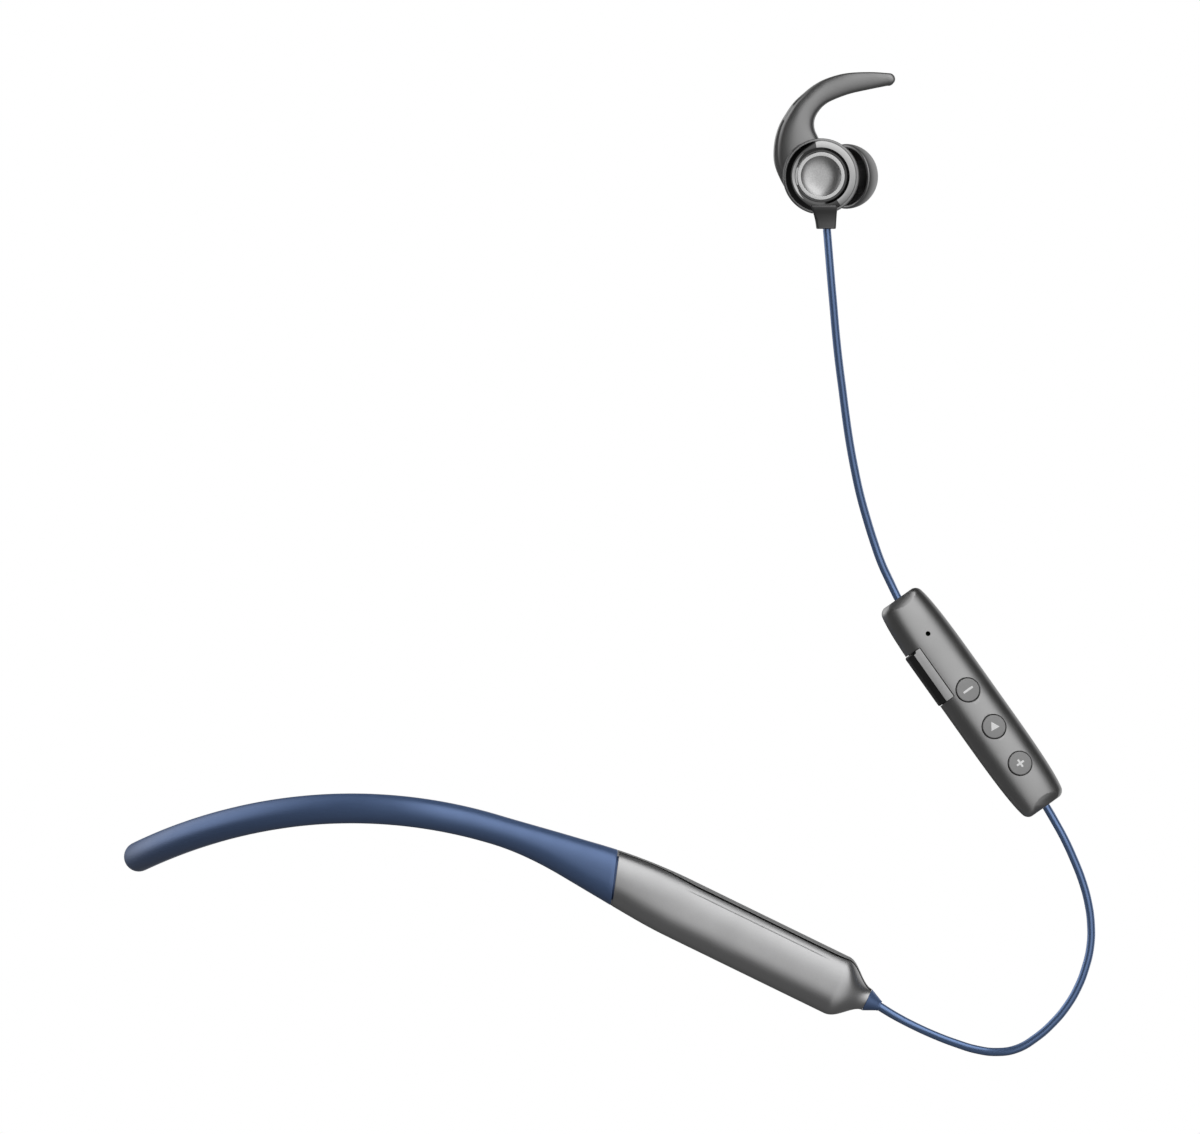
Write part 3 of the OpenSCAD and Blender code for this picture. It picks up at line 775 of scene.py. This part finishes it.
def remote_shell(start):
    """Half of the remote's casing, from angle start to start + 180, with a wall at each end."""
    stop = start + 180
    rings = []
    for k in range(REMOTE_STEPS + 1):
        x = REMOTE_LENGTH * (1 - math.cos(math.pi * k / REMOTE_STEPS)) / 2
        near_end = min(x, REMOTE_LENGTH - x)
        tuck = END_TUCK * (1 - math.sqrt(1 - max(1 - near_end / END_RUN, 0) ** 2))
        face = [remote_point(x, tuck, angle)
                for angle in span(start + FACE_START, stop - FACE_START, REMOTE_ARC_STEPS)]
        first = remote_point(x, REMOTE_LIP + tuck, start + LIP_START)
        last = remote_point(x, REMOTE_LIP + tuck, stop - LIP_START)
        inner_x = min(max(x, REMOTE_WALL), REMOTE_LENGTH - REMOTE_WALL)
        inside = [remote_point(inner_x, REMOTE_WALL, angle)
                  for angle in span(stop - INSIDE_START, start + INSIDE_START, REMOTE_ARC_STEPS // 2)]
        rings.append([first] + face + [last] + inside)
    return skin(rings)


def well(radius, rim):
    """A round hole from above, with its upper edge rounded by rim."""
    top = REMOTE_THICK / 2
    profile = [(0, WELL_FLOOR), (radius, WELL_FLOOR)]
    for t in span(0, math.pi / 2, 5):
        profile.append((radius + rim * (1 - math.cos(t)), top - rim + rim * math.sin(t)))
    profile += [(radius + rim, top + OVERCUT), (0, top + OVERCUT)]
    return lathe(profile, 72)


def moved(shape, offset):
    vertices, faces = shape
    return [v + Vector(offset) for v in vertices], faces


def block(low, high, radius=0.0):
    """A box from low to high, with its corners along Z rounded."""
    corners = [(low[0], low[1]), (high[0], low[1]), (high[0], high[1]), (low[0], high[1])]
    outline = rounded(corners, radius, 4) if radius else corners
    return skin([[(x, y, z) for x, y in outline] for z in (low[2], high[2])])


def port_recess():
    return block((COVER_X - COVER_FREE_GAP, -REMOTE_WIDTH, COVER_LOW - COVER_GAP),
                 (COVER_X + COVER_LENGTH + COVER_GAP, COVER_DEPTH - COVER_OUT + 0.1 * MM,
                  REMOTE_THICK), 0.25 * MM)


def end_facet(x, towards):
    """A wedge that cuts a lens-shaped facet where the face meets an end."""
    low = Vector((x - towards * FACET_PAST, 0, REMOTE_END_THICK / 2 - FACET_DEPTH))
    run = Vector((towards * FACET_RUN, 0, FACET_DEPTH + FACET_RISE))
    tall = Vector((0, 0, FACET_TALL))
    rings = []
    for y in (-REMOTE_WIDTH, REMOTE_WIDTH):
        corner = low + Vector((0, y, 0))
        rings.append([corner - run, corner + 2 * run, corner + tall + 2 * run, corner + tall - run])
    return skin(rings)


def make_remote():
    front = make("remote_face", remote_shell(0), REMOTE)
    holes = [moved(well(BUTTON_R + WELL_GAP, 0.12 * MM), (BUTTON_X + k * BUTTON_PITCH, 0, 0))
             for k in range(3)]
    holes.append(moved(well(MIC_R, 0.06 * MM), (MIC_X, 0, 0)))
    carve(front, join(*holes), REMOTE)
    carve(front, port_recess(), REMOTE)
    carve(front, join(end_facet(0, 1), end_facet(REMOTE_LENGTH, -1)), REMOTE)
    back = make("remote_back", remote_shell(180), REMOTE)
    carve(back, port_recess(), REMOTE)
    finish_piece(front, "remote_shell", "right_arm", "dark_plastic", "remote_front_shell")
    finish_piece(back, "remote_shell", "right_arm", "dark_plastic", "remote_back_shell")


make_remote()

# Buttons: a flat disc with a rounded edge, the flange that holds it in, and a stem.
BUTTON_TOP = REMOTE_THICK / 2 + 0.05 * MM
FLANGE_Z = 1.6 * MM
FLANGE_H = 0.35 * MM
FLANGE_R = BUTTON_R + 0.3 * MM
STEM_R = 0.8 * MM
STEM_Z = 1.37 * MM
SYMBOL_UP = 0.03 * MM


def button_shape():
    profile = rounded([
        (0, STEM_Z), (STEM_R, STEM_Z), (STEM_R, FLANGE_Z), (FLANGE_R, FLANGE_Z),
        (FLANGE_R, FLANGE_Z + FLANGE_H), (BUTTON_R, FLANGE_Z + FLANGE_H),
        (BUTTON_R, BUTTON_TOP), (0, BUTTON_TOP),
    ], [0, 0.1 * MM, 0, 0.1 * MM, 0.1 * MM, 0, 0.22 * MM, 0], closed=False)
    return lathe(profile, 72)


def bar(length, width):
    """A bar across the remote."""
    u, v = width / 2, length / 2
    return plate(rounded([(-u, -v), (u, -v), (u, v), (-u, v)], 0.06 * MM, 2))


def cross(length, width):
    """A plus along and across the remote."""
    u, v = length / 2, width / 2
    return plate(rounded([(u, -v), (u, v), (v, v), (v, u), (-v, u), (-v, v), (-u, v), (-u, -v),
                          (-v, -v), (-v, -u), (v, -u), (v, -v)], 0.04 * MM, 2))


def plate(outline):
    low, high = BUTTON_TOP - SYMBOL_UP, BUTTON_TOP + SYMBOL_UP
    return skin([[(x, y, z) for x, y in outline] for z in (low, high)])


def triangle():
    """A triangle that points forward when the remote hangs as it does here."""
    out = math.radians(REMOTE_TILT)
    points = []
    for along, across in ((-0.6, 0.95), (-0.6, -0.95), (1.1, 0)):
        points.append((MM * (along * math.cos(out) - across * math.sin(out)),
                       MM * (along * math.sin(out) + across * math.cos(out))))
    return plate(rounded(points, 0.08 * MM, 3))


SYMBOLS = {
    "minus": bar(2.3 * MM, 0.45 * MM),
    "play": triangle(),
    "plus": cross(1.75 * MM, 0.42 * MM),
}
for K, (NAME, SYMBOL) in enumerate(SYMBOLS.items()):
    PLACE = REMOTE @ Matrix.Translation((BUTTON_X + K * BUTTON_PITCH, 0, 0))
    BODY = NAME + "_button"
    finish_piece(make(NAME + "_key", button_shape(), PLACE), "button_grey", BODY, "dark_plastic", BODY)
    finish_piece(make(NAME + "_symbol", SYMBOL, PLACE), "symbol_grey", BODY, "dark_plastic")


# Cover over the charging socket: black rubber, with a grey strip along the face that faces front, painted on
# as the light that falls there.
COVER_RIDGE = (-4.85 * MM, 2.7 * MM)
COVER_INSIDE = COVER_DEPTH - COVER_OUT - 0.1 * MM
COVER_LIP_Z = 3.12 * MM
STRIP_GROOVE = 0.05 * MM


def cover_body(outline, rim):
    """The cover's outline in Y and Z, run along X with its end edges rounded by rim."""
    middle = Vector((sum(y for y, z in outline), sum(z for y, z in outline))) / len(outline)
    stations = [(COVER_X + rim * (1 - math.sin(t)), rim * (1 - math.cos(t)))
                for t in span(math.pi / 2, 0, 4)]
    rings = []
    for x, inset in stations + [(2 * COVER_X + COVER_LENGTH - x, i) for x, i in reversed(stations)]:
        ring = []
        for point in outline:
            out = Vector(point) - middle
            y, z = middle + out * (1 - inset / out.length)
            ring.append((x, y, z))
        rings.append(ring)
    return skin(rings)


def make_port_cover():
    outline = rounded([
        (COVER_INSIDE, COVER_LOW), (COVER_INSIDE, COVER_LIP_Z - STRIP_GROOVE), COVER_RIDGE,
        (-COVER_OUT, 1.5 * MM), (-COVER_OUT, -1.2 * MM), (-5 * MM, COVER_LOW),
    ], [0.1 * MM, 0.1 * MM, 0.06 * MM, 0.3 * MM, 0.4 * MM, 0.3 * MM], 4)
    cover = make("port_lid", cover_body(outline, 0.4 * MM), REMOTE)
    y, z = COVER_RIDGE
    # The strip is a painted highlight: grey on the cover's front face, where light falls.
    strip_outline = rounded([
        (COVER_INSIDE, COVER_LIP_Z - 0.3 * MM), (COVER_INSIDE, COVER_LIP_Z),
        (y + 0.02 * MM, z + 0.05 * MM), (y + 0.02 * MM, z - 0.25 * MM),
    ], 0.05 * MM, 3)
    strip = make("port_lid_strip", cover_body(strip_outline, 0.1 * MM), REMOTE)
    notch = moved(lathe([(0, -5 * MM), (0.5 * MM, -5 * MM), (0.5 * MM, 5 * MM), (0, 5 * MM)], 40),
                  (COVER_X, 1.2 * MM - COVER_OUT, 0))
    carve(cover, notch, REMOTE)
    carve(strip, notch, REMOTE)
    finish_piece(cover, "black_rubber", "port_cover", "black_rubber", "port_cover")
    finish_piece(strip, "strip_painted_highlight", "port_cover", "black_rubber")


make_port_cover()

# ---- earbuds: Z runs along the housing's axis into the ear, Y points down ----
DISH_R = 3.96 * MM
DISH_DEEP = 0.95 * MM
DISH_RIM = 0.2 * MM
SLEEVE_R = 7.6 * MM
SLEEVE_FROM = 3.1 * MM
SLEEVE_CLEAR = 0.02 * MM
# The shoulder's crest and the valley inside it, and angles from straight forward towards
# down that bound its painted reflection: dark outside the bright span, and a bright crescent
# left on the inner slope as a painted glint.
CREST_R = 5.75 * MM
VALLEY_R = 5.12 * MM
PAINTED_REFLECTION_BRIGHT_FROM = -99
PAINTED_REFLECTION_BRIGHT_TO = 57
PAINTED_GLINT_FROM = 126
PAINTED_GLINT_TAPER = 34
HOUSING_END = 6.4 * MM
NECK_R = 6.5 * MM
NOZZLE_ANGLE = 42
NOZZLE_Z = 6 * MM
NOZZLE_R = 2.6 * MM
NOZZLE_BORE = 1.8 * MM
TIP_R = 6.4 * MM
TIP_RIM = 7.6 * MM
TIP_SKIN = 0.7 * MM
STEM_TIP_R = NOZZLE_R + 0.75 * MM
TIP_CLEAR = 0.06 * MM
COLLAR_NOTCH = (-1.6 * MM, 2.9 * MM)
BUD_REACH = 12 * MM


def bud_place(side):
    """The bud's frame, with its origin at the middle of the cap's outer face."""
    low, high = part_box("bud_cap_" + side)
    middle = (low + high) / 2
    outside = low.y if side == "right" else high.y
    facing = turn(-90, "X") if side == "right" else MIRROR @ turn(-90, "X")
    return Matrix.Translation((middle.x, outside, middle.z)) @ facing


def scaled(points):
    return [(x * MM, y * MM) for x, y in points]


def cap_ring():
    """The cap's polished rim, with the seat for the dish."""
    return lathe(rounded(scaled([
        (0, 1.2), (3.98, 1.2), (3.98, 0.06), (4.04, 0.0), (4.72, 0.0), (4.82, 0.1), (4.82, 1.3), (0, 1.3),
    ]), [0, 0.05 * MM, 0.03 * MM, 0.03 * MM, 0.05 * MM, 0.05 * MM, 0.05 * MM, 0], closed=False), 120)


def cap_dish():
    """The blasted dish: hollow, and deepest at its middle."""
    hollow = [(r * DISH_R, mix(DISH_DEEP, DISH_RIM, r ** 4)) for r in span(0, 1, 14)]
    return lathe(hollow + [(DISH_R, 1.15 * MM), (0, 1.15 * MM)], 120)


def housing():
    """Glossy shoulder round the cap, the wall behind it and the neck that holds the sleeve."""
    slope = [(VALLEY_R + t * (CREST_R - VALLEY_R), mix(0.56, 0.3, t) * MM) for t in span(0, 1, 8)]
    outside = rounded(scaled([
        (5.75, 0.3), (7.1, 0.82), (7.15, 3.1), (6.5, 3.1), (6.5, 6.4), (5.6, 6.4), (5.6, 2.4),
        (4.85, 1.9), (0, 1.9),
    ]), [0, 0.16 * MM, 0.12 * MM, 0, 0.1 * MM, 0.1 * MM, 0.1 * MM, 0.1 * MM, 0], closed=False)
    return lathe([(0, 1.35 * MM), (VALLEY_R, 1.35 * MM)] + slope[:-1] + outside, 160)


# Stations of the front chamber: way along it, radius and tilt, from the dome to the nozzle.
CHAMBER = [
    (6.4, 7.0, 0), (6.8, 7.0, 0), (7.3, 6.75, 3), (7.9, 6.0, 9), (8.5, 4.9, 18), (9.3, 3.7, 30),
    (10.3, 2.9, 40), (11.5, 2.62, 42), (13, 2.6, 42), (15.5, 2.6, 42), (16.9, 2.6, 42),
]
CHAMBER_SIDES = 72
CHAMBER_WALL = 0.9 * MM
CHAMBER_END_R = 3.4 * MM


def front_chamber():
    """The housing's ear side: a dome that runs over into the slanted nozzle, open inside."""
    rings = []
    stations = through(CHAMBER, 6)
    centre = Vector((0, 0, stations[0][0] * MM))
    before = stations[0][0]
    for way, radius, tilt in stations:
        angle = math.radians(tilt)
        centre = centre + Vector((math.sin(angle), 0, math.cos(angle))) * (way - before) * MM
        before = way
        rings.append((centre.copy(), radius * MM, angle))

    def circle(place, radius, angle):
        right = Vector((math.cos(angle), 0, -math.sin(angle)))
        return [place + right * (radius * math.cos(t)) + Vector((0, radius * math.sin(t), 0))
                for t in around(CHAMBER_SIDES)]

    outside = [circle(*ring) for ring in rings]
    inside = []
    for place, radius, angle in rings:
        wide = radius > CHAMBER_END_R
        inside.append(circle(place, max(radius - CHAMBER_WALL, NOZZLE_BORE) if wide else NOZZLE_BORE, angle))
    return skin(outside + inside[::-1] + [outside[0]], cap_start=False, cap_end=False)


# Hooked wing: its outer and inner edge in pairs of (x, down), from its root to its tip.
WING_EDGES = [
    ((-5.4, 5.0), (2.0, 3.0)), ((-7.8, 1.2), (1.4, -1.5)), ((-9.3, -2.6), (0.4, -4.8)),
    ((-9.35, -6.4), (-0.4, -7.4)), ((-8.5, -9.8), (-1.2, -9.2)), ((-7.1, -12.4), (-1.4, -10.7)),
    ((-5.5, -14.7), (-1.1, -12.0)), ((-3.6, -16.5), (-0.4, -13.2)), ((-1.6, -18.1), (0.6, -14.3)),
    ((1.0, -19.5), (2.2, -15.3)), ((5.0, -20.6), (5.6, -16.6)), ((10.0, -20.85), (9.5, -17.5)),
    ((13.9, -20.6), (13.5, -18.3)),
]
WING_Z = 4.8
WING_THIN = 0.85
WING_THICK = 1.6
WING_THIN_FROM = 0.2
WING_THIN_TO = 0.9
WING_SQUARE = 0.9
WING_SIDES = 48
GROOVE_DEPTH = 0.3
GROOVE_ACROSS = 0.84
GROOVE_WIDTH = 0.07
GROOVE_END = 0.65
GROOVE_FADE = 0.25


def wing():
    """A lens-shaped section between the wing's edges, with a groove inside its outer edge."""
    line = []
    for outer_x, outer_y, inner_x, inner_y in through([a + b for a, b in WING_EDGES], 8):
        outer, inner = Vector((outer_x, outer_y, 0)), Vector((inner_x, inner_y, 0))
        line.append(((outer + inner) / 2, (outer - inner) / 2, 1.0))
    # A round end past the last pair.
    centre, side = line[-1][:2]
    ahead = Vector((-side.y, side.x, 0))
    for t in span(0.2, 1.5, 6):
        line.append((centre + ahead * math.sin(t), side * math.cos(t), math.sqrt(math.cos(t))))
    rings = []
    for k, (centre, side, share) in enumerate(line):
        along = k / (len(line) - 1)
        thinning = smooth((along - WING_THIN_FROM) / (WING_THIN_TO - WING_THIN_FROM))
        thick = share * mix(WING_THICK, WING_THIN, thinning)
        groove = GROOVE_DEPTH * smooth((GROOVE_END - along) / GROOVE_FADE)
        ring = []
        for angle in around(WING_SIDES):
            across, s = math.cos(angle), math.sin(angle)
            height = math.copysign(abs(s) ** WING_SQUARE, s) * thick
            if s < 0:
                height += groove * math.exp(-((across - GROOVE_ACROSS) / GROOVE_WIDTH) ** 2)
            point = centre + side * across + Vector((0, 0, WING_Z + height))
            ring.append(point * MM)
        rings.append(ring)
    return skin(rings)


def sleeve_ring():
    """The band of soft silicone round the housing that carries the wing."""
    inner = NECK_R + SLEEVE_CLEAR
    near, far = SLEEVE_FROM + SLEEVE_CLEAR, HOUSING_END - SLEEVE_CLEAR
    outline = rounded([(inner, near), (SLEEVE_R, near), (SLEEVE_R, far), (inner, far)], 0.3 * MM, 5)
    return lathe(outline, 128, closed=True)


def ear_tip():
    """Soft tip: a stem on the nozzle, folded back into a half-round skirt."""
    def dome(radius, start, stop):
        return [(radius * math.cos(t), TIP_RIM + radius * math.sin(t)) for t in span(start, stop, 28)]

    bore = NOZZLE_R + TIP_CLEAR
    inner_r = TIP_R - TIP_SKIN
    mouth = math.acos((bore + 0.35 * MM) / TIP_R)
    profile = dome(TIP_R, 0, mouth)
    profile += rounded([(bore + 0.2 * MM, TIP_RIM + TIP_R * math.sin(mouth) + 0.02 * MM),
                        (bore, TIP_RIM + TIP_R * math.sin(mouth) - 0.25 * MM),
                        (bore, TIP_RIM - 1.2 * MM), (STEM_TIP_R, TIP_RIM - 1.2 * MM)],
                       [0, 0.2 * MM, 0.1 * MM, 0.15 * MM], 4, closed=False)
    profile += dome(inner_r, math.acos(STEM_TIP_R / inner_r), 0)
    # The rim's round edge.
    middle = TIP_R - TIP_SKIN / 2
    profile += [(middle - TIP_SKIN / 2 * math.cos(t), TIP_RIM - TIP_SKIN / 2 * math.sin(t))
                for t in span(0.4, math.pi - 0.4, 5)]
    return lathe(profile, 128, closed=True)


def collar():
    """Tapered collar for the cord: stations of (y, left x, right x, outer z, inner z)."""
    stations = through([
        (5.7, -2.2, 3.2, 0.5, 5.4), (6.0, -2.25, 3.25, 0.15, 5.6), (6.7, -1.8, 3.25, 0.4, 5.5),
        (7.6, -1.45, 3.18, 1.0, 5.3), (8.8, -1.15, 3.1, 1.5, 5.2), (10.1, -0.95, 3.02, 1.8, 5.1),
        (10.4, -0.9, 2.98, 1.85, 5.05), (10.5, -0.75, 2.83, 2.0, 4.9),
    ], 4)
    rings = []
    for y, left, right, low, high in stations:
        outline = rounded([(left, low), (right, low), (right, high), (left, high)], 0.6, 6)
        rings.append([(x * MM, y * MM, z * MM) for x, z in outline])
    return skin(rings)


def is_painted_dark_reflection(middle):
    """True where the shoulder is painted dark as a reflection of dark surroundings: on its rear and lower
    part, and on its inner slope but for a crescent that stays bright as a painted glint.
    """
    angle = math.degrees(math.atan2(middle.y, middle.x))
    depth = (CREST_R - middle.xy.length) / (CREST_R - VALLEY_R)
    if depth > 0:
        return abs(angle) < PAINTED_GLINT_FROM + PAINTED_GLINT_TAPER * min(depth, 1)
    return not PAINTED_REFLECTION_BRIGHT_FROM < angle < PAINTED_REFLECTION_BRIGHT_TO


def make_bud(side):
    arm = side + "_arm"
    place = bud_place(side)
    nozzle = place @ Matrix.Translation((0, 0, NOZZLE_Z)) @ turn(NOZZLE_ANGLE, "Y")
    finish_piece(make("cap_rim_" + side, cap_ring(), place), "cap_metal", arm, "cap_metal",
                 "bud_cap_" + side)
    finish_piece(make("cap_dish_" + side, cap_dish(), place), "cap_blasted", arm, "cap_metal")
    body = make("bud_body_" + side, housing(), place, sharp=50)
    finish_piece(body, "bud_metal", arm, "dark_plastic", "bud_housing_" + side)
    back = place.inverted()
    # Painted reflection: dark metal on the faces picked here stands for dark surroundings mirrored in the
    # glossy shoulder.
    second_look(body, "bud_painted_dark_reflection", lambda face: is_painted_dark_reflection(back @ face.center))
    finish_piece(make("bud_chamber_" + side, front_chamber(), place, sharp=50), "dark_plastic", arm,
                 "dark_plastic", "bud_front_" + side)
    wing_piece = make("wing_" + side, wing(), place, sharp=60)
    carve(wing_piece, sleeve_ring(), place, "UNION", sharp=50)
    hole = NECK_R + SLEEVE_CLEAR
    carve(wing_piece, lathe([(0, 0), (hole, 0), (hole, BUD_REACH), (0, BUD_REACH)], 128), place,
          sharp=50)
    notch = block((COLLAR_NOTCH[0], 0, 0), (COLLAR_NOTCH[1], BUD_REACH, BUD_REACH))
    carve(wing_piece, notch, place, sharp=50)
    finish_piece(wing_piece, "soft_silicone", arm, "soft_silicone", "ear_wing_" + side)
    finish_piece(make("tip_" + side, ear_tip(), nozzle, sharp=60), "soft_silicone",
                 "ear_tip_" + side, "soft_silicone", "ear_tip_" + side)
    finish_piece(make("cord_collar_" + side, collar(), place, sharp=50), "collar_grey", arm,
                 "black_rubber", "cable_collar_" + side)


for SIDE in SIDES:
    make_bud(SIDE)

# ---- CAD nodes that stay as they are, with a finish ----
KEPT = {
    "battery": "cell_wrap",
    "main_board": "circuit_board",
    "remote_board": "circuit_board",
    "tact_switches": "steel",
    "microphone": "steel",
    "charging_socket": "steel",
    "speaker_driver_right": "steel",
    "speaker_driver_left": "steel",
    "nozzle_mesh_right": "steel",
    "nozzle_mesh_left": "steel",
}
for NODE, LOOK in KEPT.items():
    CAD_NODES[NODE].data.materials.clear()
    CAD_NODES[NODE].data.materials.append(LOOKS[LOOK])

# ---- floor, light and background ----
FLOOR_Z = CAD_BOX[0].z - 0.040
FLOOR_R = 3
FLOOR_SIDES = 96


def make_floor():
    """A large, pale, round floor."""
    ring = [(FLOOR_R * math.cos(t), FLOOR_R * math.sin(t), FLOOR_Z) for t in around(FLOOR_SIDES)]
    floor = make("floor", (ring, [tuple(range(FLOOR_SIDES))]))
    surface("floor_white", grey(0.86), 0.6, tone=0.01, grain=300, bump=0,
            Emission_Color=(1, 1, 1, 1), Emission_Strength=0.5)
    floor.data.materials.append(LOOKS["floor_white"])
    # The pieces don't mirror it: they are lit as over a dark sweep.
    floor.visible_glossy = False
    floor.visible_diffuse = False


def make_world():
    """White where the camera sees it. What the pieces mirror is a soft panel in front, reaching
    from just left of the camera round to its right and brightest above, two softer lights beyond
    the object, on the left and on the right, and dim light from elsewhere."""
    world = bpy.data.worlds.new("studio")
    bpy.context.scene.world = world
    world.use_nodes = True
    nodes, links = world.node_tree.nodes, world.node_tree.links
    direction = nodes.new("ShaderNodeTexCoord").outputs["Generated"]

    def along(vector):
        node = nodes.new("ShaderNodeVectorMath")
        node.operation = "DOT_PRODUCT"
        node.inputs[1].default_value = Vector(vector).normalized()
        links.new(direction, node.inputs[0])
        return node.outputs["Value"]

    def step(value, low, high, top=1.0):
        node = nodes.new("ShaderNodeMapRange")
        node.interpolation_type = "SMOOTHSTEP"
        node.inputs["From Min"].default_value = low
        node.inputs["From Max"].default_value = high
        node.inputs["To Max"].default_value = top
        links.new(value, node.inputs["Value"])
        return node.outputs["Result"]

    def combine(operation, first, *others):
        for other in others:
            node = nodes.new("ShaderNodeMath")
            node.operation = operation
            links.new(first, node.inputs[0])
            links.new(other, node.inputs[1])
            first = node.outputs["Value"]
        return first

    def lobe(azimuth, elevation, inner, outer, top):
        """A round soft light. Azimuth 0 is where the camera stands, and 90 is to its right."""
        a, e = math.radians(azimuth), math.radians(elevation)
        centre = (math.sin(a) * math.cos(e), -math.cos(a) * math.cos(e), math.sin(e))
        return step(along(centre), math.cos(math.radians(outer)), math.cos(math.radians(inner)), top)

    def right_of(azimuth, softness):
        """1 to the right of an upright plane through the object at an azimuth."""
        a = math.radians(azimuth)
        return step(along((math.cos(a), math.sin(a), 0)), -softness, softness)

    def left_of(azimuth, softness):
        return right_of(azimuth + 180, softness)

    panel = combine("MULTIPLY", step(along((0, 0, 1)), -1.15, 0.9, 1.25), right_of(-8, 0.03),
                    left_of(52, 0.17), step(along((0, -1, 0)), -0.15, 0.10))
    dim = step(along((0, 0, 1)), 1, -2, 0.16)
    left = combine("MULTIPLY", lobe(azimuth=-112, elevation=15, inner=8, outer=58, top=0.9),
                   step(along((0, 0, 1)), -0.45, 0.10))
    right = lobe(azimuth=142, elevation=5, inner=8, outer=48, top=0.6)
    total = combine("ADD", panel, left, right, dim)
    shade = nodes["Background"]
    shade.inputs["Color"].default_value = (1, 1, 1, 1)
    links.new(total, shade.inputs["Strength"])
    white = nodes.new("ShaderNodeBackground")
    white.inputs["Color"].default_value = (1, 1, 1, 1)
    choice = nodes.new("ShaderNodeMixShader")
    path = nodes.new("ShaderNodeLightPath")
    links.new(path.outputs["Is Camera Ray"], choice.inputs["Fac"])
    links.new(shade.outputs["Background"], choice.inputs[1])
    links.new(white.outputs["Background"], choice.inputs[2])
    links.new(choice.outputs["Shader"], nodes["World Output"].inputs["Surface"])


def make_top_light():
    """A broad lamp overhead that gives the floor its soft shadows and shows in no reflection."""
    data = bpy.data.lights.new("overhead", "AREA")
    data.size = 1.2
    data.energy = 3
    lamp = bpy.data.objects.new("overhead", data)
    lamp.location = (0.09, -0.1, 1.2)
    lamp.visible_camera = False
    lamp.visible_glossy = False
    bpy.context.scene.collection.objects.link(lamp)


make_floor()
make_world()
make_top_light()
bpy.context.scene.view_settings.view_transform = "Standard"
